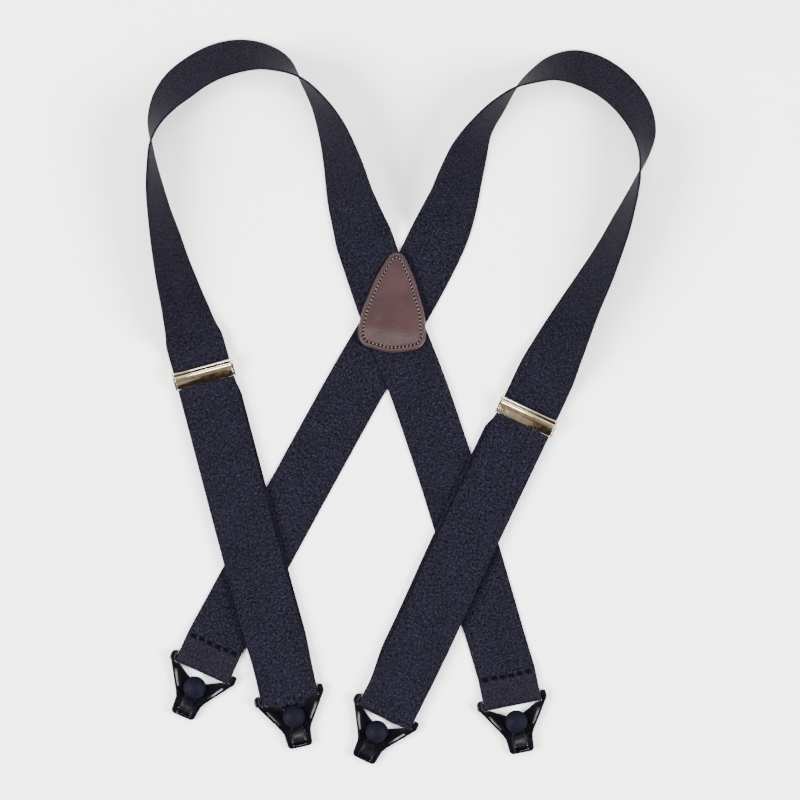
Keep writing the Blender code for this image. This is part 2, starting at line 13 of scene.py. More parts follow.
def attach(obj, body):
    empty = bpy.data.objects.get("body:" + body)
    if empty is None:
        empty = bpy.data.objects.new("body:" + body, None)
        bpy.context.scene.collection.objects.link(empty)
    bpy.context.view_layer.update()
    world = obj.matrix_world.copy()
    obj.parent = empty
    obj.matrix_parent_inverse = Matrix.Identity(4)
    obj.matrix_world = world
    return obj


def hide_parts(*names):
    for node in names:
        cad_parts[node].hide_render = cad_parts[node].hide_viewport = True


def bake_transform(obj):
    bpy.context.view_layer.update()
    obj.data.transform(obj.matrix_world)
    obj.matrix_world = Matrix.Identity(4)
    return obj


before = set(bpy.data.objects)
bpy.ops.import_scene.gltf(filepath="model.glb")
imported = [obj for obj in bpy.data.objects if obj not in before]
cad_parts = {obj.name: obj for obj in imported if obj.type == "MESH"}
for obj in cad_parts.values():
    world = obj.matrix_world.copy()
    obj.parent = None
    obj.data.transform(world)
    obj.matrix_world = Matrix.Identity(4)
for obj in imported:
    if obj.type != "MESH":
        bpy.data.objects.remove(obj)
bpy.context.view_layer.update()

MM = 0.001

# Webbing, as the design has it
WEB_WIDTH = 0.038
WEB_THICK = 0.0015
BAR_RADIUS = 0.0015
LOOP_RADIUS = 0.00255
BAR_HEIGHT = 0.0033
LOOP_APPROACH = 0.012
HEM_TAIL = 0.021
TAIL_LEVEL = 0.00325
TAIL_RISE_START = 0.003
TAIL_RISE_END = 0.033
TAIL_END_ABOVE_ADJUSTER = 0.0026
CRIMP_REACH = 0.007
CENTRE_SHIFT = Vector((-0.00057, -0.00169))

# The back ends' sewn hem, from the fold to the stitch row, as distances from the webbing's cut end
HEM_BAND = (0.0290, 0.0450)

# The line beside each woven edge: its depth, its share of the way out, and its width
SELVEDGE_GROOVE = 0.00012
SELVEDGE_PLACE = 0.93
SELVEDGE_WIDTH = 0.0006

# Fineness of the webbing's surface
ROW_STEP = 0.002
LOOP_STEPS = 18
EDGE_STEPS = 6
FACE_STEPS = 16

# How far along the webbing its free part, slightly uneven, starts and ends
FREE_FROM = 0.36
FREE_TO = 0.80
FREE_FADE = 0.05

# How far the tail shows on the inner side of the main layer, away from the crimp and the loop
TAIL_PEEK = {"left": 0.0018, "right": 0.0030}
PEEK_FROM_BAR = 0.012
PEEK_FADE_AT_LOOP = 0.03
PEEK_FADE_AT_CRIMP = 0.012

# How far the middle of each front loop hangs below its clip's bar, and the half width that hangs
LOOP_SAG = {"left": 0.0050, "right": 0.0010}

# Middle line of each strap, in millimetres: x, y, roll in degrees and height of the lower edge.
STRAP_BACK = {
    "left": [
        (73.0, -194.3, 0, 1.8), (69.6, -177.5, 0, 1.8), (64.8, -161.1, 0, 0),
        (25.5, -30.1, 0, 0), (12.1, 9.2, 0, 1.8), (-8.5, 62.2, 0, 1.8),
        (-21.8, 101.5, 0, 1.8), (-27.1, 117.2, 22, 1.2), (-32.2, 133.0, 35, 0.6),
        (-37.8, 156.5, 48.5, 0), (-45.2, 180.1, 62.5, 0), (-52.9, 195.8, 74, 0),
        (-66.0, 213.3, 90, 0), (-76.3, 222.0, 107, 0), (-89.4, 227.0, 117, 0),
        (-105.1, 227.6, 125, 0), (-120.2, 224.0, 127.5, 0), (-140.5, 212.2, 127.5, 0),
        (-153.6, 199.1, 119, 0), (-160.5, 186.0, 106, 0), (-163.1, 171.0, 90, 0),
        (-162.4, 156.5, 82, 0), (-160.4, 140.8, 74, 0), (-157.5, 125.1, 67.5, 0),
        (-153.8, 109.4, 60, 0), (-148.0, 85.8, 50, 0), (-141.0, 62.2, 38, 1.5),
        (-136.8, 47.5, 24, 3.4), (-133.8, 37.2, 0, 5), (-128.8, 19.6, 0, 5),
    ],
    "right": [
        (-129.0, -172.9, 0, 1.8), (-121.6, -156.5, 0, 1.8), (-112.1, -139.0, 0, 0),
        (-31.1, 9.2, 0, 0), (21.1, 101.5, 0, 0), (28.3, 117.2, 15, 0),
        (34.5, 133.0, 31, 0), (39.3, 148.7, 41, 0), (44.8, 164.4, 51, 0),
        (52.4, 180.1, 65.5, 0), (64.9, 195.8, 77, 0), (75.6, 206.8, 90, 0),
        (89.2, 215.2, 106, 0), (99.2, 219.4, 115.5, 0), (113.6, 220.4, 126, 0),
        (128.7, 215.5, 130, 0), (145.1, 203.4, 128, 0), (154.9, 190.0, 123, 0),
        (159.2, 177.5, 114, 0), (159.2, 164.4, 101, 0), (156.2, 151.3, 90, 0),
        (147.0, 125.1, 74, 0), (133.1, 93.7, 61, 0), (116.4, 62.2, 45, 0),
        (102.9, 35.3, 26, 2), (90.3, 8.4, 0, 5), (82.6, -7.9, 0, 5),
    ],
}
STRAP_FRONT = {
    "left": [
        (-128.8, 19.6, 0, 5), (-82.3, -154.1, 0, 5), (-77.2, -172.0, 0, 5),
        (-72.9, -190.9, 0, 5),
    ],
    "right": [
        (82.6, -7.9, 0, 5), (36.6, -105.0, 0, 5), (13.8, -155.0, 0, 5),
        (-9.4, -202.0, 0, 5),
    ],
}
LOOP_SIDE = {"left": 1, "right": -1}


def smoothstep(t):
    t = min(max(t, 0.0), 1.0)
    return t * t * (3 - 2 * t)


# ---------------- materials


class Look:
    """A material with short calls for its nodes."""

    def __init__(self, name):
        self.material = bpy.data.materials.new(name)
        self.material.use_nodes = True
        self.nodes = self.material.node_tree.nodes
        self.links = self.material.node_tree.links
        self.shader = self.nodes["Principled BSDF"]

    def set(self, **values):
        for name, value in values.items():
            self.shader.inputs[name.replace("_", " ")].default_value = value
        return self

    def give(self, socket, value):
        """Links an input to another node's output, or sets its own value."""
        if isinstance(value, bpy.types.NodeSocket):
            self.links.new(value, socket)
        else:
            socket.default_value = value

    def node(self, kind, inputs=None, **settings):
        made = self.nodes.new(kind)
        for name, value in settings.items():
            setattr(made, name, value)
        for name, value in (inputs or {}).items():
            self.give(made.inputs[name], value)
        return made

    def math(self, operation, a, b=0.0):
        made = self.node("ShaderNodeMath", operation=operation)
        for socket, value in zip(made.inputs, (a, b)):
            self.give(socket, value)
        return made.outputs[0]

    def mix(self, share, a, b):
        made = self.node("ShaderNodeMix", data_type="RGBA")
        for name, value in (("Factor", share), ("A", a), ("B", b)):
            kind = "VALUE" if name == "Factor" else "RGBA"
            socket = next(s for s in made.inputs if s.name == name and s.type == kind)
            self.give(socket, (*value, 1) if isinstance(value, tuple) else value)
        return next(s for s in made.outputs if s.type == "RGBA")

    def tint(self, colour, mask, share, other):
        """The colour taken towards another by a mask, at most by the share."""
        return self.mix(self.math("MULTIPLY", mask, share), colour, other)

    def spread(self, value, low, high, to_low=0.0, to_high=1.0):
        """The value's range from low to high, mapped to another and clamped."""
        inputs = {"Value": value, "From Min": low, "From Max": high}
        inputs.update({"To Min": to_low, "To Max": to_high})
        return self.node("ShaderNodeMapRange", inputs).outputs["Result"]

    def noise(self, place, size, detail=2.0):
        """Noise whose patches are about the given size, on a place in metres."""
        inputs = {"Vector": place, "Scale": 1 / size, "Detail": detail}
        return self.node("ShaderNodeTexNoise", inputs).outputs["Fac"]

    def scaled(self, place, scale):
        return self.node("ShaderNodeMapping", {"Vector": place, "Scale": scale}).outputs[0]

    def place(self):
        return self.node("ShaderNodeTexCoord").outputs["Object"]

    def bump(self, height, distance, strength=1.0, under=None):
        inputs = {"Height": height, "Distance": distance, "Strength": strength}
        if under is not None:
            inputs["Normal"] = under
        return self.node("ShaderNodeBump", inputs).outputs["Normal"]

    def feed(self, name, socket):
        self.links.new(socket, self.shader.inputs[name])


def webbing_look():
    """Elastic webbing: fine staggered stitches in lengthwise ribs, near-black with pale flecks."""
    look = Look("elastic_webbing")
    look.set(Roughness=0.60, Sheen_Weight=0.02, Sheen_Roughness=0.25)
    look.set(Sheen_Tint=(0.85, 0.82, 0.84, 1), Specular_IOR_Level=0.011)
    flat = look.node("ShaderNodeUVMap", uv_map="weave").outputs["UV"]
    in_mm = look.scaled(flat, (1000, 1000, 1000))
    weave = look.node(
        "ShaderNodeTexBrick",
        {
            "Vector": in_mm,
            "Color1": (0.55, 0.55, 0.55, 1),
            "Color2": (1, 1, 1, 1),
            "Mortar": (0, 0, 0, 1),
            "Scale": 1.0,
            "Mortar Size": 0.13,
            "Mortar Smooth": 1.0,
            "Brick Width": 1.15,
            "Row Height": 0.62,
        },
        offset=0.5,
    )
    cell = look.node("ShaderNodeRGBToBW", {"Color": weave.outputs["Color"]}).outputs[0]
    flecks = look.spread(look.noise(flat, 0.0013, 2.0), 0.50, 0.72)
    pits = look.spread(look.noise(flat, 0.0016, 2.0), 0.34, 0.50, 1.0, 0.0)
    cloud = look.spread(look.noise(flat, 0.022, 4.0), 0.35, 0.7)
    lint = look.spread(look.noise(flat, 0.0035, 5.0), 0.60, 0.80)
    # Painted shade: the grooves between the stitches, where the bump sinks, are painted darkest.
    # The stitches themselves vary at random in tone.
    ground = look.mix(cell, (0.0011, 0.0011, 0.0026), (0.0074, 0.0070, 0.0122))
    tinted = look.tint(ground, cloud, 0.40, (0.0076, 0.0068, 0.0130))
    flecked = look.tint(tinted, flecks, 0.46, (0.030, 0.028, 0.040))
    pitted = look.tint(flecked, pits, 0.80, (0.0004, 0.0004, 0.0014))
    dusty = look.tint(pitted, lint, 0.10, (0.05, 0.05, 0.06))
    # A lighter grey is painted over the hem band, from the fold to the stitch row.
    measure = look.node("ShaderNodeSeparateXYZ", {"Vector": flat}).outputs["Y"]
    past_fold = look.spread(measure, HEM_BAND[0] - 0.002, HEM_BAND[0])
    before_row = look.spread(measure, HEM_BAND[1], HEM_BAND[1] + 0.001, 1.0, 0.0)
    marked = look.math("MULTIPLY", past_fold, before_row)
    uneven_tone = look.tint(dusty, marked, 0.12, (0.0170, 0.0165, 0.0185))
    look.feed("Base Color", uneven_tone)
    raised = look.math("MULTIPLY", cell, look.spread(flecks, 0, 1, 0.8, 1.0))
    look.feed("Normal", look.bump(raised, 0.00018, 0.9))
    return look.material


def leather_look():
    """Reddish brown leather: pores and fine creases, burnished dark at its cut edge."""
    look = Look("brown_leather")
    look.set(Specular_IOR_Level=0.21)
    place = look.place()
    edge = look.node("ShaderNodeAttribute", attribute_name="edge").outputs["Fac"]
    cloud = look.spread(look.noise(place, 0.012, 4.0), 0.35, 0.68)
    fine = look.noise(place, 0.0011, 5.0)
    pores = look.node("ShaderNodeTexVoronoi", {"Vector": place, "Scale": 1150.0}, feature="F1")
    creases = look.node(
        "ShaderNodeTexVoronoi",
        {"Vector": place, "Scale": 620.0},
        feature="DISTANCE_TO_EDGE",
    )
    crease = look.spread(creases.outputs["Distance"], 0.0, 0.16)
    body = look.mix(cloud, (0.0164, 0.0056, 0.0068), (0.0262, 0.0098, 0.0120))
    mottled = look.mix(look.spread(fine, 0.4, 0.66, 0, 0.45), body, (0.0125, 0.0052, 0.0054))
    burnished = look.tint(mottled, edge, 0.72, (0.0105, 0.0050, 0.0050))
    # Painted shade: the stitch holes are painted near black.
    hole = look.node("ShaderNodeAttribute", attribute_name="hole").outputs["Fac"]
    dark = look.tint(burnished, hole, 0.95, (0.0010, 0.0006, 0.0006))
    look.feed("Base Color", dark)
    look.feed("Roughness", look.spread(fine, 0.35, 0.7, 0.32, 0.43))
    pore = look.spread(pores.outputs["Distance"], 0.0, 0.45)
    low = look.bump(look.math("MULTIPLY", crease, pore), 0.00005, 0.6)
    look.feed("Normal", look.bump(fine, 0.00005, 0.5, low))
    return look.material


def thread_look(name, pale, dark, sheen=0.0):
    """Twisted thread: slanting plies along its length."""
    look = Look(name)
    look.set(Roughness=0.8, Specular_IOR_Level=0.04, Sheen_Weight=sheen, Sheen_Roughness=0.4)
    place = look.place()
    plies = look.node(
        "ShaderNodeTexWave",
        {"Vector": place, "Scale": 620.0, "Distortion": 0.6, "Detail": 1.0},
        bands_direction="DIAGONAL",
    ).outputs["Fac"]
    uneven_tone = look.noise(place, 0.004, 3.0)
    # Painted shade: the grooves between the plies, where the bump sinks, are painted in the dark
    # colour.
    colour = look.mix(plies, dark, pale)
    look.feed("Base Color", look.mix(look.spread(uneven_tone, 0.45, 0.75, 0, 0.5), colour, dark))
    look.feed("Normal", look.bump(plies, 0.00006, 0.8))
    return look.material


def plated_look():
    """Bright warm nickel plate, rolled along its length and lightly rubbed."""
    look = Look("plated_steel")
    look.set(Metallic=1.0, Specular_IOR_Level=0.5)
    place = look.place()
    streak = look.scaled(place, (60, 1400, 1400))
    rolled = look.node("ShaderNodeTexNoise", {"Vector": streak, "Scale": 1.0, "Detail": 4.0})
    cloud = look.spread(look.noise(place, 0.006, 4.0), 0.38, 0.68)
    colour = look.mix(cloud, (0.62, 0.53, 0.39), (0.74, 0.65, 0.51))
    look.feed("Base Color", colour)
    rough = look.spread(look.noise(place, 0.0028, 4.0), 0.4, 0.7, 0.10, 0.18)
    look.feed("Roughness", rough)
    look.feed("Normal", look.bump(rolled.outputs["Fac"], 0.00002, 0.5))
    return look.material


def pin_look():
    look = Look("steel_pin")
    look.set(Metallic=1.0)
    place = look.place()
    cloud = look.noise(place, 0.002, 3.0)
    look.feed("Base Color", look.mix(cloud, (0.08, 0.08, 0.085), (0.16, 0.155, 0.15)))
    look.feed("Roughness", look.spread(look.noise(place, 0.001, 3.0), 0.3, 0.7, 0.22, 0.42))
    return look.material


def plastic_look(name, shade, shine, rough, grain_depth):
    """Moulded black plastic: faint mould grain, and handling marks that vary its gloss."""
    look = Look(name)
    look.set(Specular_IOR_Level=shine)
    place = look.place()
    smear = look.noise(place, 0.005, 4.0)
    pale = tuple(channel * 1.9 for channel in shade)
    look.feed("Base Color", look.mix(look.spread(smear, 0.4, 0.72), shade, pale))
    look.feed("Roughness", look.spread(smear, 0.35, 0.7, rough, rough + 0.12))
    grain = look.noise(place, 0.00045, 3.0)
    peel = look.bump(look.noise(place, 0.0022, 2.0), grain_depth * 3, 0.5)
    look.feed("Normal", look.bump(grain, grain_depth, 0.6, peel))
    return look.material


def floor_look():
    look = Look("pale_table")
    look.set(Roughness=0.9, Specular_IOR_Level=0.1)
    place = look.place()
    shade = look.spread(look.noise(place, 0.05, 3.0), 0.3, 0.7)
    look.feed("Base Color", look.mix(shade, (0.86, 0.86, 0.86), (0.88, 0.88, 0.88)))
    return look.material


GLOSSY_BLACK = (0.0009, 0.0007, 0.0018)
SATIN_BLACK = (0.0013, 0.0013, 0.0042)
LOOKS = {
    "webbing": webbing_look(),
    "leather": leather_look(),
    "tan_thread": thread_look("tan_thread", (0.190, 0.130, 0.118), (0.085, 0.052, 0.046), 0.03),
    # Near black, darker than the webbing: black thread, and painted shade in the dents at the hem
    # tacks.
    "black_thread": thread_look("black_thread", (0.0006, 0.0006, 0.0010), (0.0002, 0.0002, 0.0003)),
    "plated_steel": plated_look(),
    "pin_steel": pin_look(),
    "clip_plastic": plastic_look("glossy_black_plastic", GLOSSY_BLACK, 0.08, 0.20, 1e-5),
    "ball_plastic": plastic_look("satin_black_plastic", SATIN_BLACK, 0.05, 0.56, 3e-5),
}


def finish_piece(obj, body, slot, *nodes):
    """Gives the piece its material and slot, its body, and the nodes it stands for."""
    obj.data.materials.clear()
    obj.data.materials.append(LOOKS[slot])
    if body is not None:
        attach(obj, body)
    if nodes:
        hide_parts(*nodes)
    return obj


def new_object(name, mesh):
    obj = bpy.data.objects.new(name, mesh)
    bpy.context.scene.collection.objects.link(obj)
    return obj


# ---------------- webbing


class Route:
    """A smooth line through stations of x, y, roll and lift, measured along its length."""

    def __init__(self, stations, loop_side):
        self.points = [Vector((x, y)) * MM + CENTRE_SHIFT for x, y, _, _ in stations]
        self.rolls = [math.radians(float(roll)) for _, _, roll, _ in stations]
        self.lifts = [lift * MM for _, _, _, lift in stations]
        self.loop_side = loop_side
        self.at = [0.0]
        for a, b in zip(self.points, self.points[1:]):
            self.at.append(self.at[-1] + (b - a).length)
        self.length = self.at[-1]

    def slope(self, values, i):
        """How fast the values change at a station, and not at all at a peak."""
        last = len(values) - 1
        if i in (0, last):
            k = min(i, last - 1)
            return (values[k + 1] - values[k]) / (self.at[k + 1] - self.at[k])
        before = self.at[i] - self.at[i - 1]
        after = self.at[i + 1] - self.at[i]
        left = (values[i] - values[i - 1]) / before
        right = (values[i + 1] - values[i]) / after
        if isinstance(left, float) and left * right <= 0:
            return 0.0
        return (left * after + right * before) / (before + after)

    def smooth(self, values, s):
        """A smooth value between the stations, at distance s."""
        s = min(max(s, 0.0), self.length)
        i = 0
        while i < len(self.at) - 2 and s > self.at[i + 1]:
            i += 1
        span = self.at[i + 1] - self.at[i]
        t = (s - self.at[i]) / span
        start = self.slope(values, i) * span
        end = self.slope(values, i + 1) * span
        return (
            values[i] * (2 * t**3 - 3 * t**2 + 1)
            + start * (t**3 - 2 * t**2 + t)
            + values[i + 1] * (3 * t**2 - 2 * t**3)
            + end * (t**3 - t**2)
        )

    def direction(self, s):
        step = 0.0005
        ahead = self.smooth(self.points, min(s + step, self.length))
        behind = self.smooth(self.points, max(s - step, 0.0))
        return (ahead - behind).normalized()

    def row(self, s):
        """Centre of the webbing and its direction across, at distance s."""
        along = self.direction(s)
        outward = Vector((along.y, -along.x, 0)) * self.loop_side
        roll = self.smooth(self.rolls, s)
        height = self.smooth(self.lifts, s) + WEB_THICK / 2 + WEB_WIDTH / 2 * abs(math.sin(roll))
        across = outward * math.cos(roll) + Vector((0, 0, math.sin(roll)))
        return Vector((*self.smooth(self.points, s), height)), across

    def rows(self):
        count = math.ceil(self.length / ROW_STEP)
        return [self.row(self.length * i / count) for i in range(count + 1)]


def loop_rows(bar, outward_end, across):
    """Webbing from the top of a clip's bar, round it to the underside."""
    rows = []
    for i in range(1, LOOP_STEPS + 1):
        turn = math.pi * i / LOOP_STEPS
        along = outward_end * (LOOP_RADIUS * math.sin(turn))
        height = BAR_HEIGHT + LOOP_RADIUS * math.cos(turn)
        rows.append((Vector((bar.x, bar.y, height)) + along, across))
    return rows


def raised_to_bar(rows, bar):
    """Lifts the rows near a clip so that the webbing meets the top of its loop."""
    top = BAR_HEIGHT + LOOP_RADIUS
    raised = []
    for centre, across in rows:
        near = smoothstep(1 - (centre.xy - bar).length / LOOP_APPROACH)
        height = centre.z + (top - centre.z) * near
        raised.append((Vector((centre.x, centre.y, height)), across))
    return raised


def hem_tail_rows(bar, outward_end, across):
    count = math.ceil(HEM_TAIL / ROW_STEP)
    start = Vector((bar.x, bar.y, WEB_THICK / 2))
    return [(start - outward_end * (HEM_TAIL * i / count), across) for i in range(1, count + 1)]


def doubled_tail_rows(run, peek):
    """The tail under the front run, from the clip's loop to the adjuster, a little to one side."""
    length = run.length + TAIL_END_ABOVE_ADJUSTER
    count = math.ceil(length / ROW_STEP)
    up_strap = -run.direction(0)
    rows = []
    for i in range(count + 1):
        back = length * i / count
        centre, across = run.row(run.length - back)
        place = centre.xy + up_strap * max(back - run.length, 0.0)
        share = (back - TAIL_RISE_START) / (TAIL_RISE_END - TAIL_RISE_START)
        height = WEB_THICK / 2 + (TAIL_LEVEL - WEB_THICK / 2) * smoothstep(share)
        away_from_loop = smoothstep((back - PEEK_FROM_BAR) / PEEK_FADE_AT_LOOP)
        away_from_crimp = smoothstep((run.length - CRIMP_REACH - back) / PEEK_FADE_AT_CRIMP)
        aside = Vector((across.x, across.y)) * (-peek * away_from_loop * away_from_crimp)
        rows.append((Vector((*(place + aside), height)), across))
    return rows


def webbing_section():
    """Closed outline of the webbing: across, through its thickness, and a running measure."""
    radius = WEB_THICK / 2
    flat_half = WEB_WIDTH / 2 - radius
    points = []
    for i in range(FACE_STEPS + 1):
        a = flat_half * math.cos(math.pi * i / FACE_STEPS)
        out = abs(a) - flat_half * SELVEDGE_PLACE
        selvedge = math.exp(-((out / SELVEDGE_WIDTH) ** 2))
        points.append((a, radius - SELVEDGE_GROOVE * selvedge))
    for i in range(1, EDGE_STEPS):
        turn = math.pi / 2 + math.pi * i / EDGE_STEPS
        points.append((-flat_half + radius * math.cos(turn), radius * math.sin(turn)))
    half = len(points)
    return points + [(-a, -n) for a, n in points[:half]]


def drift(s, a):
    """A slight unevenness of free webbing, in metres, at distance s and place a across it."""
    slow = math.sin(s * 71.0 + 1.3) * math.sin(a * 95.0 + s * 23.0)
    quick = math.sin(s * 167.0 + 0.4 + a * 60.0)
    return 0.00016 * slow + 0.00005 * quick


def loop_hang(a, most):
    """How far a loose loop hangs below its clip's bar, held up by the clip's arms and ball."""
    x = abs(a) / MM
    fold = (LOOP_RADIUS + WEB_THICK / 2) / MM
    loose = most / MM * (1 - min(x / (WEB_WIDTH / 2 / MM), 1.0) ** 4)
    arm_edge = ARM_EDGE_MIDDLE + max(x - ARM_EDGE_BEND, 0.0) * ARM_EDGE_SLOPE
    under_ball = BALL_RADIUS - UNDER_BALL
    ball_edge = BALL_Y + math.sqrt(max(under_ball**2 - x**2, 0.0))
    room = -max(arm_edge, ball_edge) - fold - HANG_CLEARANCE
    return max(min(loose, room), 0.0) * MM


def webbing(name, rows, start_measure=0.0, free=None, sags=None):
    """A closed strip with rounded edges that follows the rows, and its length.

    free says how loose it is at a distance. sags gives, for some rows, a function of the place
    across: how far the webbing hangs out of line there.
    """
    sags = sags or {}
    section = webbing_section()
    measures = [0.0]
    for (a0, n0), (a1, n1) in zip(section, section[1:] + section[:1]):
        measures.append(measures[-1] + math.hypot(a1 - a0, n1 - n0))
    shape = bmesh.new()
    uv_layer = shape.loops.layers.uv.new("weave")
    rings = []
    distance = start_measure
    distances = []
    for i, (centre, across) in enumerate(rows):
        before = rows[max(i - 1, 0)][0]
        after = rows[min(i + 1, len(rows) - 1)][0]
        along = (after - before).normalized()
        normal = across.cross(along).normalized()
        if i:
            distance += (centre - before).length
        distances.append(distance)
        loose = free(distance) if free else 0.0
        ring = []
        for a, n in section:
            offset = n + (drift(distance, a) * loose if loose else 0.0)
            hang = sags[i](a) if i in sags else Vector()
            ring.append(shape.verts.new(centre + across * a + normal * offset + hang))
        rings.append(ring)
    count = len(section)
    for i in range(len(rings) - 1):
        for k in range(count):
            near, far = rings[i], rings[i + 1]
            beside = (k + 1) % count
            face = shape.faces.new((near[k], near[beside], far[beside], far[k]))
            places = ((k, i), (k + 1, i), (k + 1, i + 1), (k, i + 1))
            for loop, (ku, iv) in zip(face.loops, places):
                loop[uv_layer].uv = (measures[ku], distances[iv])
    shape.faces.new(rings[0])
    shape.faces.new(list(reversed(rings[-1])))
    mesh = smooth_shaded(mesh_of(shape, name), 60)
    return new_object(name, mesh), distances[-1] - distances[0]


def make_strap(side):
    """The webbing of one strap: its long run, and the main layer and tail of its front run."""
    long_run = Route(STRAP_BACK[side], LOOP_SIDE[side])
    front_run = Route(STRAP_FRONT[side], LOOP_SIDE[side])

    back_bar = long_run.points[0]
    back_end = Vector((*-long_run.direction(0), 0))
    first = raised_to_bar(long_run.rows(), back_bar)
    across = first[0][1]
    hem = loop_rows(back_bar, back_end, across) + hem_tail_rows(back_bar, back_end, across)
    hem.reverse()

    def free(distance):
        begun = smoothstep((distance - FREE_FROM) / FREE_FADE)
        return begun * smoothstep((FREE_TO - distance) / FREE_FADE)

    long_piece, long_length = webbing(f"webbing_{side}_long_run", hem + first, 0.0, free)
    finish_piece(long_piece, "root", "webbing", f"strap_{side}")

    front_bar = front_run.points[-1]
    front_end = Vector((*front_run.direction(front_run.length), 0))
    main = raised_to_bar(front_run.rows(), front_bar)
    rows = main + loop_rows(front_bar, front_end, main[-1][1])
    sags = {}
    for i in range(LOOP_STEPS):
        low_share = math.sin(math.pi * (i + 1) / LOOP_STEPS)
        hang = front_end * low_share
        sags[len(main) + i] = lambda a, hang=hang: hang * loop_hang(a, LOOP_SAG[side])
    main_piece, main_length = webbing(f"webbing_{side}_front_run", rows, long_length, None, sags)
    finish_piece(main_piece, None, "webbing", f"strap_{side}_front")
    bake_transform(main_piece)

    tail = doubled_tail_rows(front_run, TAIL_PEEK[side])
    tail_piece, tail_length = webbing(f"webbing_{side}_tail", tail, long_length + main_length)
    finish_piece(tail_piece, None, "webbing")
    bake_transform(tail_piece)
    up_back = -back_end.xy
    up_front = -front_end.xy
    up_adjuster = -front_run.direction(0)
    return (back_bar, up_back), (front_bar, up_front), (front_run.points[0], up_adjuster)


# ---------------- outlines and solids, in mm


def arc(x, y, radius, start, end, steps):
    """Points on a circle from one angle to another, in degrees."""
    turns = [math.radians(start + (end - start) * i / steps) for i in range(steps + 1)]
    return [(x + radius * math.cos(a), y + radius * math.sin(a)) for a in turns]


def circle(x, y, radius, steps=32):
    return arc(x, y, radius, 0, 360, steps)[:-1]


def rounded(corners, steps=6):
    """An outline through corners of x, y and radius, each corner rounded by its radius."""
    outline = []
    for i, (x, y, radius) in enumerate(corners):
        here = Vector((x, y))
        back = Vector(corners[i - 1][:2]) - here
        ahead = Vector(corners[(i + 1) % len(corners)][:2]) - here
        if radius == 0:
            outline.append((x, y))
            continue
        half = back.angle(ahead) / 2
        reach = min(radius / math.tan(half), back.length * 0.45, ahead.length * 0.45)
        start = here + back.normalized() * reach
        end = here + ahead.normalized() * reach
        for k in range(steps + 1):
            t = k / steps
            outline.append(tuple(start * (1 - t) ** 2 + here * (2 * t * (1 - t)) + end * t**2))
    return outline


def rectangle(half, y_from, y_to):
    return [(half, y_from), (half, y_to), (-half, y_to), (-half, y_from)]


def mirrored(outline):
    return [(-x, y) for x, y in outline]


def join_rings(shape, rings):
    """Adds the faces between each closed ring of points and the next."""
    for near, far in zip(rings, rings[1:]):
        for i in range(len(near)):
            beside = (i + 1) % len(near)
            shape.faces.new((near[i], near[beside], far[beside], far[i]))


def mesh_of(shape, name):
    """The finished shape as a mesh, with its faces turned outwards."""
    bmesh.ops.recalc_face_normals(shape, faces=shape.faces)
    mesh = bpy.data.meshes.new(name)
    shape.to_mesh(mesh)
    shape.free()
    return mesh


def as_mesh(obj):
    """The object's shape with its modifiers, as a mesh with doubled points merged and faces turned
    outwards, and the object removed.
    """
    bpy.context.view_layer.update()
    graph = bpy.context.evaluated_depsgraph_get()
    mesh = bpy.data.meshes.new_from_object(obj.evaluated_get(graph))
    shape = bmesh.new()
    shape.from_mesh(mesh)
    bmesh.ops.remove_doubles(shape, verts=shape.verts, dist=1e-6)
    bmesh.ops.dissolve_degenerate(shape, edges=shape.edges, dist=1e-6)
    bmesh.ops.recalc_face_normals(shape, faces=shape.faces)
    shape.to_mesh(mesh)
    shape.free()
    bpy.data.objects.remove(obj)
    return mesh


def plate(outlines, low, high, rounding=0.0):
    """A plate between two heights, with its edges rounded by a radius."""
    curve = bpy.data.curves.new("plate", "CURVE")
    curve.dimensions = "2D"
    curve.fill_mode = "BOTH"
    curve.extrude = ((high - low) / 2 - rounding) * MM
    curve.bevel_depth = rounding * MM
    curve.bevel_resolution = 2
    curve.offset = -rounding * MM
    for outline in outlines:
        spline = curve.splines.new("POLY")
        spline.points.add(len(outline) - 1)
        for point, (x, y) in zip(spline.points, outline):
            point.co = (x * MM, y * MM, 0, 1)
        spline.use_cyclic_u = True
    obj = new_object("plate", curve)
    mesh = as_mesh(obj)
    mesh.transform(Matrix.Translation((0, 0, (low + high) / 2 * MM)))
    return mesh


SIDEWAYS = Matrix(((0, 0, 1, 0), (1, 0, 0, 0), (0, 1, 0, 0), (0, 0, 0, 1)))


def side_plate(outlines, low, high, rounding=0.0):
    """A plate whose outlines are y and z, between two places across x."""
    mesh = plate(outlines, low, high, rounding)
    mesh.transform(SIDEWAYS)
    return mesh


def turned(profile, y, z, across=True, steps=32):
    """A solid turned from a profile of radius and distance, along x through y and z, or upright."""
    shape = bmesh.new()
    verts = [shape.verts.new((radius * MM, 0, along * MM)) for radius, along in profile]
    edges = [shape.edges.new(pair) for pair in zip(verts, verts[1:])]
    turn = {"cent": (0, 0, 0), "axis": (0, 0, 1), "angle": math.tau, "steps": steps}
    bmesh.ops.spin(shape, geom=verts + edges, use_merge=True, **turn)
    bmesh.ops.remove_doubles(shape, verts=shape.verts, dist=1e-6)
    mesh = mesh_of(shape, "turned")
    if across:
        mesh.transform(Matrix.Rotation(math.pi / 2, 4, "Y"))
    mesh.transform(Matrix.Translation((0, y * MM, z * MM)))
    return mesh


def rod(y, z, radius, half_length, dome=0.25):
    """A round rod across x with slightly domed ends."""
    end = [(0, 0), (radius * 0.6, dome * 0.2), (radius, dome)]
    end = [(r, a - half_length) for r, a in end]
    profile = end + [(r, -a) for r, a in reversed(end)]
    return turned(profile, y, z)


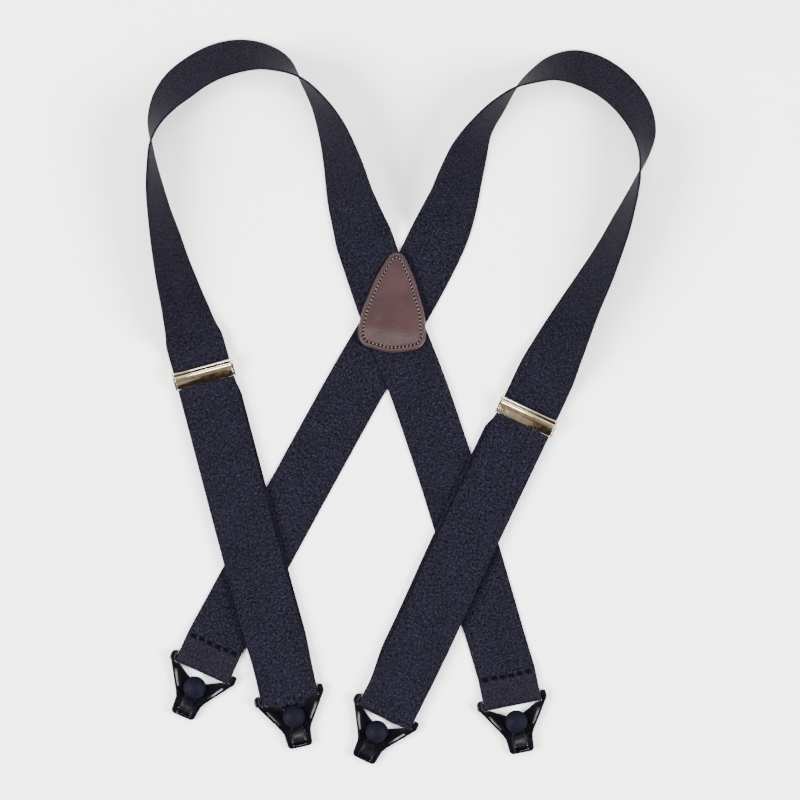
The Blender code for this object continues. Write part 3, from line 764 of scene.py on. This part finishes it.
def combined(base, others, operation="UNION"):
    """The base mesh joined with, or cut by, the other meshes."""
    obj = new_object("base", base)
    helpers = []
    for mesh in others:
        helper = new_object("helper", mesh)
        boolean = obj.modifiers.new("Join", "BOOLEAN")
        boolean.operation = operation
        boolean.solver = "EXACT"
        boolean.object = helper
        helpers.append(helper)
    mesh = as_mesh(obj)
    for helper in helpers:
        bpy.data.objects.remove(helper)
    return mesh


def smooth_shaded(mesh, angle=40):
    mesh.shade_smooth()
    mesh.set_sharp_from_angle(angle=math.radians(angle))
    return mesh


def frame_on_strap(point, up_strap):
    """The matrix that puts a drawing with y up the strap at a point on the table."""
    turn = math.atan2(-up_strap.x, up_strap.y)
    return Matrix.Translation((point.x, point.y, 0)) @ Matrix.Rotation(turn, 4, "Z")


def placed(name, mesh, matrix):
    """A copy of the mesh as an object, put in its place by its matrix."""
    obj = new_object(name, mesh.copy())
    obj.matrix_world = matrix
    return obj


# ---------------- ball clips

CLIP_BASE = 0.3
CLIP_TOP = 4.9
WEB_TOP = 3.7
BALL_Y = -13.8
BALL_HEIGHT = 6.2
BALL_RADIUS = 7.5
BALL_FLATTEN = 0.75
SOCKET_RADIUS = 7.35
SOCKET_FROM = -53
SOCKET_TO = 41
SHOULDER_INNER = 19.4
SHOULDER_OUTER = 23.0
SHOULDER_TOP = 3.4
SHOULDER_FOOT = -3.7
LUMP_FOOT = -3.4
LUMP_TOP = 3.9
LUMP_OUTER = 23.4
LUMP_HEIGHT = 6.4
LUMP_TOP_TURN = 3.2
LUMP_FOOT_TURN = 2.2
LUMP_ROUNDING = 1.2
TAB_HALF = 8.9
TAB_END = -34.6
TAB_END_HALF = 8.2
TAB_CORNER = 2.8
END_BAR = 1.3
END_BAR_HALF = 5.6
SLOT_HALF = 4.5
ARM_INNER = 15.2
ARM_WAIST = (9.5, -19.4)
SLIT = [(17.5, -7.2, 0.5), (11.3, -17.7, 0.5), (10.1, -17.2, 0.4), (16.0, -7.2, 0.4)]
BRIDGE_HALF = 5.4
BRIDGE_FROM = -27.4
BRIDGE_TO = -20.6
BRIDGE_TOP = 1.5
STEM_HALF = 4.1
STEM_NECK_HALF = 2.9
STEM_SHOULDER = -21.0
STEM_END = -16.0
STEM_BASE = 1.9
STEM_TOP = 4.8
CLIP_PIN_Y = -30.6
CLIP_PIN_HEIGHT = 2.9
CLIP_PIN_HOLE = 1.0
CLIP_KNUCKLE_RADIUS = 2.4

# The edge of the arms and socket that a loose loop of webbing can hang down to
ARM_EDGE_MIDDLE = -8.6
ARM_EDGE_BEND = 6.0
ARM_EDGE_SLOPE = 4.9 / 9.2
UNDER_BALL = 0.8
HANG_CLEARANCE = 0.2


def clip_frame_mesh():
    """Arms with a low web, a raised rim and an open slit, round shoulders, and a tab."""
    outer = [
        (SHOULDER_INNER, SHOULDER_TOP, 0.6),
        (SHOULDER_OUTER - 0.2, SHOULDER_TOP, 2.4),
        (SHOULDER_OUTER, -1.6, 2.6),
        (10.5, -20.8, 2.0),
        (TAB_HALF, -24.2, 2.0),
    ]
    corner = arc(TAB_END_HALF - TAB_CORNER, TAB_END + TAB_CORNER, TAB_CORNER, 0, -90, 8)
    corner = [(x, y, 0) for x, y in corner]
    side = rounded([(SHOULDER_INNER, SHOULDER_FOOT, 0), *outer, *corner, (SLOT_HALF, TAB_END, 0)])
    side += arc(0, BALL_Y, SOCKET_RADIUS, SOCKET_FROM, SOCKET_TO, 16)
    side += [(ARM_INNER, SHOULDER_FOOT)]
    slit = rounded(SLIT, 4)
    rim_inner = [
        (SLOT_HALF, TAB_END, 0),
        (SLOT_HALF, -23.0, 0.8),
        (7.8, -21.8, 1.5),
        (*ARM_WAIST, 1.5),
        (20.8, -3.4, 0.8),
        (SHOULDER_INNER, -3.4, 0),
    ]
    rim = rounded([*outer, *corner, *rim_inner])
    web = plate([side, slit, mirrored(side), mirrored(slit)], CLIP_BASE, WEB_TOP, 0.35)
    rims = plate([rim, mirrored(rim)], WEB_TOP - 1.6, CLIP_TOP, 0.4)
    high, low = LUMP_TOP_TURN, LUMP_FOOT_TURN
    top_turn = arc(LUMP_OUTER - high, LUMP_TOP - high, high, 90, 0, 12)
    foot_turn = arc(LUMP_OUTER - low, LUMP_FOOT + low, low, 0, -90, 8)
    turns = [(x, y, 0) for x, y in top_turn + foot_turn]
    shoulder = rounded([(SHOULDER_INNER, LUMP_FOOT, 0.8), (SHOULDER_INNER, LUMP_TOP, 0.7), *turns])
    shoulders = plate([shoulder, mirrored(shoulder)], CLIP_BASE + 0.3, LUMP_HEIGHT, LUMP_ROUNDING)
    under_tongue = rectangle(BRIDGE_HALF, BRIDGE_FROM, BRIDGE_TO)
    bridge = plate([under_tongue], CLIP_BASE + 0.05, BRIDGE_TOP, 0.2)
    across_tab = rectangle(END_BAR_HALF, TAB_END, TAB_END + END_BAR)
    end_bar = plate([across_tab], CLIP_BASE + 0.1, CLIP_TOP - 0.1, 0.35)
    bar = rod(0, BAR_HEIGHT / MM, BAR_RADIUS / MM, SHOULDER_INNER + 1.5)
    joined = combined(web, [rims, shoulders, bridge, end_bar, bar])
    pin_hole = rod(CLIP_PIN_Y, CLIP_PIN_HEIGHT, CLIP_PIN_HOLE, TAB_HALF + 2)
    return smooth_shaded(combined(joined, [pin_hole], "DIFFERENCE"))


def clip_tongue_mesh():
    """The sprung tongue: hinge knuckle, stem, and the flattened ball."""
    stem_outline = rounded([
        (STEM_HALF, CLIP_PIN_Y, 0),
        (STEM_HALF, STEM_SHOULDER, 1.5),
        (STEM_NECK_HALF, STEM_END, 0),
        (-STEM_NECK_HALF, STEM_END, 0),
        (-STEM_HALF, STEM_SHOULDER, 1.5),
        (-STEM_HALF, CLIP_PIN_Y, 0),
    ])
    stem = plate([stem_outline], STEM_BASE, STEM_TOP, 0.3)
    knuckle = rod(CLIP_PIN_Y, CLIP_PIN_HEIGHT, CLIP_KNUCKLE_RADIUS, STEM_HALF - 0.02, 0.3)
    count = 28
    ball_half = BALL_RADIUS * BALL_FLATTEN
    profile = [(0, BALL_HEIGHT - ball_half)]
    for i in range(1, count):
        turn = math.pi * (i / count - 0.5)
        profile.append((BALL_RADIUS * math.cos(turn), BALL_HEIGHT + ball_half * math.sin(turn)))
    profile.append((0, BALL_HEIGHT + ball_half))
    dome = turned(profile, BALL_Y, 0, across=False, steps=64)
    joined = combined(stem, [knuckle, dome])
    pin_hole = rod(CLIP_PIN_Y, CLIP_PIN_HEIGHT, CLIP_PIN_HOLE, STEM_HALF + 2)
    return smooth_shaded(combined(joined, [pin_hole], "DIFFERENCE"))


def make_clips(ends):
    """The four ball clips. Each end gives a name, the bar's place and the way up its strap."""
    frame_mesh = clip_frame_mesh()
    tongue_mesh = clip_tongue_mesh()
    for name, bar, up_strap in ends:
        matrix = frame_on_strap(bar, up_strap)
        body = placed(f"{name}_moulded_frame", frame_mesh, matrix)
        finish_piece(body, name, "clip_plastic", f"{name}_frame")
        tongue = placed(f"{name}_ball_tongue", tongue_mesh, matrix)
        finish_piece(tongue, f"{name}_tongue", "ball_plastic", f"{name}_tongue")
        tongue.data.materials.append(LOOKS["clip_plastic"])
        for face in tongue.data.polygons:
            face.material_index = 0 if face.center.y > (BALL_Y - BALL_RADIUS) * MM else 1
        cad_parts[f"{name}_hinge_pin"].material_slots[0].material = LOOKS["pin_steel"]


# ---------------- adjusters

EAR_INNER = 19.4
EAR_THICK = 0.9
CRIMP_LOW = 1.8
CRIMP_HIGH = 4.7
SHEET_METAL = 0.5
LEVER_HALF = 18.9
ADJUSTER_PIN_Y = 4.2
ADJUSTER_PIN_HEIGHT = 8.2
ADJUSTER_PIN_RADIUS = 0.65
ADJUSTER_PIN_HALF = 20.7
PIN_CLEARANCE = 0.15
CRIMP_MOUTH = -5.0
CRIMP_BACK = 3.6
LEVER_KNUCKLE_RADIUS = 1.35

# Side views of an ear and of the cover plate, from the groove at its knuckle round to its inside
EAR = [
    (-6.2, CRIMP_LOW, 0.8),
    (6.2, CRIMP_LOW, 0.8),
    (6.2, 9.9, 1.8),
    (2.4, 9.9, 1.8),
    (-6.2, 7.0, 1.4),
]
LEVER_GROOVE = [(3.05, 9.0), (2.65, 8.98), (2.3, 9.2)]
LEVER_CROWN = [(1.8, 9.46), (0.9, 9.54), (-0.3, 9.5), (-1.6, 9.34), (-2.8, 9.06), (-3.9, 8.62)]
LEVER_LIP = [(-4.9, 8.02), (-5.7, 7.3), (-6.15, 6.8), (-6.0, 6.65), (-5.75, 6.7), (-5.1, 7.4)]
LEVER_INSIDE = [(-4.2, 8.0), (-3.0, 8.5), (-1.7, 8.82), (-0.3, 8.98), (1.1, 8.96)]
LEVER_INSIDE += [(2.1, 8.72), (2.75, 8.0)]


def adjuster_frame_mesh():
    """Two upright ears joined by the folded crimp that holds the end of the webbing's tail."""
    ear = rounded(EAR)
    hole = circle(ADJUSTER_PIN_Y, ADJUSTER_PIN_HEIGHT, ADJUSTER_PIN_RADIUS + PIN_CLEARANCE)
    right = side_plate([ear, hole], EAR_INNER, EAR_INNER + EAR_THICK, 0.14)
    left = side_plate([ear, hole], -EAR_INNER - EAR_THICK, -EAR_INNER, 0.14)
    middle = (CRIMP_LOW + CRIMP_HIGH) / 2
    bend = (CRIMP_HIGH - CRIMP_LOW) / 2
    inner = bend - SHEET_METAL
    fold = [(CRIMP_MOUTH, CRIMP_LOW)]
    fold += arc(CRIMP_BACK - bend, middle, bend, -90, 90, 14)
    fold += [(CRIMP_MOUTH, CRIMP_HIGH), (CRIMP_MOUTH, CRIMP_HIGH - SHEET_METAL)]
    fold += arc(CRIMP_BACK - bend, middle, inner, 90, -90, 14)
    fold += [(CRIMP_MOUTH, CRIMP_LOW + SHEET_METAL)]
    crimp = side_plate([fold], -EAR_INNER - EAR_THICK / 2, EAR_INNER + EAR_THICK / 2, 0.08)
    return smooth_shaded(combined(crimp, [left, right]), 30)


def adjuster_lever_mesh():
    """The cover plate: a rolled knuckle, a groove, a crowned face and a lip bent down."""
    y, z, radius = ADJUSTER_PIN_Y, ADJUSTER_PIN_HEIGHT, LEVER_KNUCKLE_RADIUS
    profile = arc(y, z, radius, -150, 128, 26)
    profile += LEVER_GROOVE + LEVER_CROWN + LEVER_LIP + LEVER_INSIDE
    hole = circle(y, z, ADJUSTER_PIN_RADIUS + PIN_CLEARANCE)
    return smooth_shaded(side_plate([profile, hole], -LEVER_HALF, LEVER_HALF, 0.1), 42)


def make_adjusters(places):
    """The two adjusters. Each place gives a name, a point on the strap and the way up it."""
    frame_mesh = adjuster_frame_mesh()
    lever_mesh = adjuster_lever_mesh()
    pin_rod = rod(ADJUSTER_PIN_Y, ADJUSTER_PIN_HEIGHT, ADJUSTER_PIN_RADIUS, ADJUSTER_PIN_HALF)
    pin_mesh = smooth_shaded(pin_rod)
    for name, point, up_strap in places:
        matrix = frame_on_strap(point, up_strap)
        body = placed(f"{name}_bent_frame", frame_mesh, matrix)
        finish_piece(body, name, "plated_steel", f"{name}_frame")
        pin = placed(f"{name}_round_pin", pin_mesh, matrix)
        finish_piece(pin, name, "plated_steel", f"{name}_pin")
        lever = placed(f"{name}_cover_lever", lever_mesh, matrix)
        finish_piece(lever, f"{name}_lever", "plated_steel", f"{name}_lever")


# ---------------- leather patch and stitching

PATCH_CENTRE = Vector((-0.0043, 0.0664)) + CENTRE_SHIFT
PATCH_TURN = math.radians(-3.7)
PATCH_BASE = 3.6
APEX_Y = 26.5
APEX_RADIUS = 6.5
APEX_TURN = 27.5
PATCH_SIDE = [(20.9, -6.8, 40), (12.5, 16.6, 40)]
PATCH_CORNER = (12.6, -20.6)
PATCH_CORNER_RADIUS = 9.8
PATCH_CORNER_FROM = -78
PATCH_CORNER_TO = 7
PATCH_FOOT = (0, -33.5, 60)
STITCH_INSET = 3.3
NO_HOLE = 9.0
STITCHES = 62
POINTS_PER_STITCH = 10
STITCH_GAP = 3
STITCH_ARCH = 0.75
STITCH_SINK = 0.60
THREAD_RADIUS = 0.32
LEATHER_EDGE = 1.35
BEVEL_RISE = 0.35
BEVEL_WIDTH = 1.2
CROWN_RISE = 0.35
CROWN_FROM = 3.0
CROWN_WIDTH = 11.0
GROOVE_DEPTH = 0.20
GROOVE_RADIUS = 0.55
HOLE_DEPTH = 0.85
HOLE_RADIUS = 0.62
HOLE_SHADE_RADIUS = 0.98
BURNISHED_WIDTH = 0.9
INNER_RINGS = 18
INNER_INSET = 5.4
INNER_DEPTH = 10.0
CURL_FROM = -13.5
CURL_LENGTH = 21.5
CURL_HEIGHT = 2.4
CURL_LEAN = 0.012

# Lines of points round the patch: inset and height at its lower edge, and insets on its face
PATCH_LOWER_EDGE = [(0.25, 0.0), (0.0, 0.2), (-0.03, 0.3)]
PATCH_INSETS = [0.12, 0.35, 0.7, 1.1, 1.6, 2.1, 2.45, 2.65, 2.85, 3.05, 3.3, 3.55, 3.75]
PATCH_INSETS += [3.95, 4.15, 4.5, 4.9, INNER_INSET]


def patch_outline(inset):
    """The triangle with a round apex and full sides, drawn in by a distance, evenly spaced."""
    corner = arc(*PATCH_CORNER, PATCH_CORNER_RADIUS, PATCH_CORNER_FROM, PATCH_CORNER_TO, 16)
    right = [(x, y, 0) for x, y in corner] + PATCH_SIDE
    left = [(-x, y, radius) for x, y, radius in reversed(right)]
    apex = arc(0, APEX_Y, APEX_RADIUS, APEX_TURN, 180 - APEX_TURN, 20)
    outline = rounded([PATCH_FOOT, *right, *[(x, y, 0) for x, y in apex], *left], 12)
    points = [Vector(point) for point in outline]
    drawn = []
    for i, point in enumerate(points):
        along = points[(i + 1) % len(points)] - points[i - 1]
        drawn.append(point + Vector((-along.y, along.x)).normalized() * inset)
    return evenly(drawn, STITCHES * POINTS_PER_STITCH)


def evenly(points, count):
    """The closed line through the points, as a number of points an equal way apart."""
    closed = points + points[:1]
    at = [0.0]
    for a, b in zip(closed, closed[1:]):
        at.append(at[-1] + (b - a).length)
    spaced = []
    k = 0
    for i in range(count):
        s = at[-1] * i / count
        while at[k + 1] < s:
            k += 1
        spaced.append(closed[k].lerp(closed[k + 1], (s - at[k]) / (at[k + 1] - at[k])))
    return spaced


def patch_height(inset, from_hole):
    """Height of the leather's face, at a distance in from its edge and from a stitch hole."""
    bevel = LEATHER_EDGE + BEVEL_RISE * smoothstep(inset / BEVEL_WIDTH)
    crown = CROWN_RISE * smoothstep((inset - CROWN_FROM) / CROWN_WIDTH)
    groove = GROOVE_DEPTH * math.exp(-(((inset - STITCH_INSET) / GROOVE_RADIUS) ** 2))
    hole = HOLE_DEPTH * math.exp(-((from_hole / HOLE_RADIUS) ** 4))
    return bevel + crown - groove - hole


def patch_curl(x, y):
    """How far the lower end of the leather curls up at a place, most at its left."""
    t = min(max((CURL_FROM - y) / CURL_LENGTH, 0.0), 1.0)
    return CURL_HEIGHT * (1 - CURL_LEAN * x) * t**3 * (6 * t * t - 15 * t + 10)


def make_patch():
    """The domed patch with its stitch holes, and its row of separate stitches."""
    shape = bmesh.new()
    edge_layer = shape.verts.layers.float.new("edge")
    hole_shade_layer = shape.verts.layers.float.new("hole")
    count = STITCHES * POINTS_PER_STITCH
    outer = patch_outline(0)
    pitch = sum((b - a).length for a, b in zip(outer, outer[1:] + outer[:1])) / count

    def hole_distance(i):
        """How far along the seam the nearest stitch hole is."""
        share = i % POINTS_PER_STITCH
        return min(share, POINTS_PER_STITCH - share) * pitch

    def ring(inset, height=None):
        made = []
        for i, point in enumerate(patch_outline(inset)):
            from_hole = math.hypot(inset - STITCH_INSET, hole_distance(i))
            face = patch_height(inset, from_hole) if height is None else height
            z = face + patch_curl(point.x, point.y)
            vert = shape.verts.new((point.x * MM, point.y * MM, (PATCH_BASE + z) * MM))
            vert[edge_layer] = math.exp(-inset / BURNISHED_WIDTH)
            # Painted shade in the stitch holes: how strongly each point is painted near black.
            vert[hole_shade_layer] = math.exp(-((from_hole / HOLE_SHADE_RADIUS) ** 4))
            made.append(vert)
        return made

    rings = [ring(inset, height) for inset, height in PATCH_LOWER_EDGE]
    rings += [ring(inset) for inset in PATCH_INSETS]
    last = rings[-1]
    centre = sum((vert.co for vert in last), Vector()) / count
    for k in range(1, INNER_RINGS):
        share = 1 - k / INNER_RINGS
        inner = []
        for vert in last:
            place = centre.lerp(vert.co, share)
            curl = patch_curl(place.x / MM, place.y / MM)
            height = patch_height(INNER_INSET + INNER_DEPTH * (1 - share), NO_HOLE)
            place.z = (PATCH_BASE + height + curl) * MM
            inner.append(shape.verts.new(place))
        rings.append(inner)
    peak = PATCH_BASE + patch_height(INNER_INSET + INNER_DEPTH, NO_HOLE)
    peak += patch_curl(centre.x / MM, centre.y / MM)
    top = shape.verts.new((centre.x, centre.y, peak * MM))
    join_rings(shape, rings)
    for i in range(count):
        shape.faces.new((rings[-1][i], rings[-1][(i + 1) % count], top))
    shape.faces.new(list(reversed(rings[0])))
    matrix = Matrix.Translation((*PATCH_CENTRE, 0)) @ Matrix.Rotation(PATCH_TURN, 4, "Z")
    mesh = smooth_shaded(mesh_of(shape, "patch"), 60)
    patch = placed("leather_back_patch", mesh, matrix)
    finish_piece(patch, "root", "leather", "back_patch")

    seam = patch_outline(STITCH_INSET)
    level = PATCH_BASE + patch_height(STITCH_INSET, NO_HOLE)
    routes = []
    for k in range(STITCHES):
        first = k * POINTS_PER_STITCH
        route = []
        for j in range(STITCH_GAP, POINTS_PER_STITCH - STITCH_GAP + 1):
            share = (j - STITCH_GAP) / (POINTS_PER_STITCH - 2 * STITCH_GAP)
            point = seam[(first + j) % count]
            rise = STITCH_ARCH * math.sin(math.pi * share) ** 0.5 - STITCH_SINK
            z = level + rise + patch_curl(point.x, point.y)
            route.append(Vector((point.x * MM, point.y * MM, z * MM)))
        routes.append(route)
    stitches = threads("back_patch_saddle_stitches", routes, THREAD_RADIUS * MM, matrix)
    finish_piece(stitches, "root", "tan_thread", "back_patch_stitching")


def threads(name, routes, radius, matrix):
    """Separate lengths of thread with pointed ends, as one mesh."""
    sides = 8
    shape = bmesh.new()
    for route in routes:
        rings = []
        for i, point in enumerate(route):
            along = (route[min(i + 1, len(route) - 1)] - route[max(i - 1, 0)]).normalized()
            aside = along.cross(Vector((0, 0, 1))).normalized()
            upward = aside.cross(along)
            taper = math.sin(math.pi * (0.08 + 0.84 * i / (len(route) - 1))) ** 0.5
            ring = []
            for k in range(sides):
                turn = math.tau * k / sides
                offset = aside * math.cos(turn) + upward * math.sin(turn)
                ring.append(shape.verts.new(point + offset * (radius * taper)))
            rings.append(ring)
        join_rings(shape, rings)
        shape.faces.new(list(reversed(rings[0])))
        shape.faces.new(rings[-1])
    return placed(name, smooth_shaded(mesh_of(shape, name), 60), matrix)


HEM_STITCH_FROM_BAR = 16.5
HEM_TACKS = 6
HEM_TACK_PITCH = 5.7
HEM_TACK_STROKES = 4
HEM_TACK_HEIGHT = 3.3
HEM_STROKE_PITCH = 0.85
HEM_STROKE_LEANS = (0.35, 0.9)
HEM_STROKE_ARCH = 0.42
HEM_STROKE_SINK = 0.24
HEM_UNEVEN = (0.12, 0.25)
HEM_THREAD_RADIUS = 0.38
HEM_FACE = 3.3


def make_hem_stitches(side, bar, up_strap):
    """A row of short dense tacks across the sewn end of a back strap, each of slanting strokes."""
    routes = []
    steps = 8
    for k in range(HEM_TACKS):
        middle = (k - (HEM_TACKS - 1) / 2) * HEM_TACK_PITCH
        for j in range(HEM_TACK_STROKES):
            x0 = middle + (j - HEM_TACK_STROKES / 2) * HEM_STROKE_PITCH
            lean = HEM_STROKE_LEANS[j % 2]
            route = []
            for i in range(steps + 1):
                t = i / steps
                x = x0 + lean * t + HEM_UNEVEN[0] * math.sin(k * 2.1 + j)
                y = HEM_STITCH_FROM_BAR + HEM_TACK_HEIGHT * (0.5 - t)
                y += HEM_UNEVEN[1] * math.sin(k * 1.7)
                z = HEM_FACE + HEM_STROKE_ARCH * math.sin(math.pi * t) ** 0.4 - HEM_STROKE_SINK
                route.append(Vector((x, y, z)) * MM)
            routes.append(route)
    matrix = frame_on_strap(bar, up_strap)
    stitches = threads(f"hem_tack_stitches_{side}", routes, HEM_THREAD_RADIUS * MM, matrix)
    # The tacks are painted near black: black thread, plus painted shade in the dents at the
    # stitches.
    finish_piece(stitches, "root", "black_thread", f"hem_stitching_{side}")


# ---------------- stage


def make_camera():
    """Straight above, far off with a long lens, framing half a metre and a little more."""
    width, distance = 0.524, 8.0
    data = bpy.data.cameras.new("camera")
    data.sensor_width = 36.0
    data.lens = data.sensor_width * distance / width
    data.clip_start = 0.1
    data.clip_end = 40.0
    camera = new_object("camera", data)
    camera.location = (-0.0009, 0.0010, distance)
    bpy.context.scene.camera = camera


def area_light(name, place, target, size, power, colour=(1, 1, 1)):
    """A lit panel that faces the target: a disk of one size, or a rectangle of two."""
    data = bpy.data.lights.new(name, "AREA")
    data.shape = "DISK" if len(size) == 1 else "RECTANGLE"
    data.size = size[0]
    if len(size) == 2:
        data.size_y = size[1]
    data.energy = power
    data.color = colour
    light = new_object(name, data)
    light.location = place
    aim = Vector(target) - Vector(place)
    light.rotation_euler = aim.to_track_quat("-Z", "Y").to_euler()


def make_world():
    """Soft light that darkens from +Y to -Y, so that plated metal has something to show."""
    world = bpy.data.worlds.new("studio")
    bpy.context.scene.world = world
    world.use_nodes = True
    nodes = world.node_tree.nodes
    links = world.node_tree.links
    place = nodes.new("ShaderNodeTexCoord").outputs["Generated"]
    split = nodes.new("ShaderNodeSeparateXYZ")
    links.new(place, split.inputs[0])
    ramp = nodes.new("ShaderNodeValToRGB")
    stops = (
        (0.00, (0.030, 0.022, 0.020)),
        (0.30, (0.014, 0.009, 0.009)),
        (0.36, (0.050, 0.036, 0.028)),
        (0.42, (0.23, 0.185, 0.120)),
        (0.49, (0.25, 0.215, 0.155)),
        (0.58, (0.27, 0.235, 0.175)),
        (0.66, (0.40, 0.360, 0.300)),
        (0.78, (1.00, 1.00, 1.02)),
        (1.00, (1.10, 1.10, 1.15)),
    )
    elements = ramp.color_ramp.elements
    while len(elements) < len(stops):
        elements.new(0.5)
    for element, (position, _) in zip(elements, stops):
        element.position = position
    for element, (_, colour) in zip(elements, stops):
        element.color = (*colour, 1)
    across = nodes.new("ShaderNodeMath")
    across.operation = "MULTIPLY_ADD"
    across.inputs[1].default_value = 0.5
    across.inputs[2].default_value = 0.5
    links.new(split.outputs["Y"], across.inputs[0])
    links.new(across.outputs[0], ramp.inputs["Fac"])
    links.new(ramp.outputs["Color"], nodes["Background"].inputs["Color"])
    nodes["Background"].inputs["Strength"].default_value = 1.6


def make_stage():
    mesh = bpy.data.meshes.new("table")
    shape = bmesh.new()
    bmesh.ops.create_grid(shape, x_segments=1, y_segments=1, size=6.0)
    shape.to_mesh(mesh)
    shape.free()
    mesh.materials.append(floor_look())
    table = new_object("table", mesh)
    table.location = (0, 0, -0.0002)
    area_light("key_left", (-1.8, -0.5, 1.7), (0, 0, 0), (1.5,), 230)
    area_light("key_right", (1.8, -0.5, 1.7), (0, 0, 0), (1.5,), 205)
    area_light("strip", (-0.1, 1.05, 2.6), (0, 0, 0), (1.3, 0.4), 48)
    warm = (1, 0.93, 0.88)
    area_light("low_panel", (-0.70, -1.31, 1.23), (0.08, 0, 0), (0.6, 2.5), 2.0, warm)
    make_world()
    make_camera()


make_stage()
left = make_strap("left")
right = make_strap("right")
make_clips([
    ("clip_back_right", *left[0]),
    ("clip_front_left", *left[1]),
    ("clip_back_left", *right[0]),
    ("clip_front_right", *right[1]),
])
make_adjusters([("adjuster_left", *left[2]), ("adjuster_right", *right[2])])
make_patch()
make_hem_stitches("right", *left[0])
make_hem_stitches("left", *right[0])
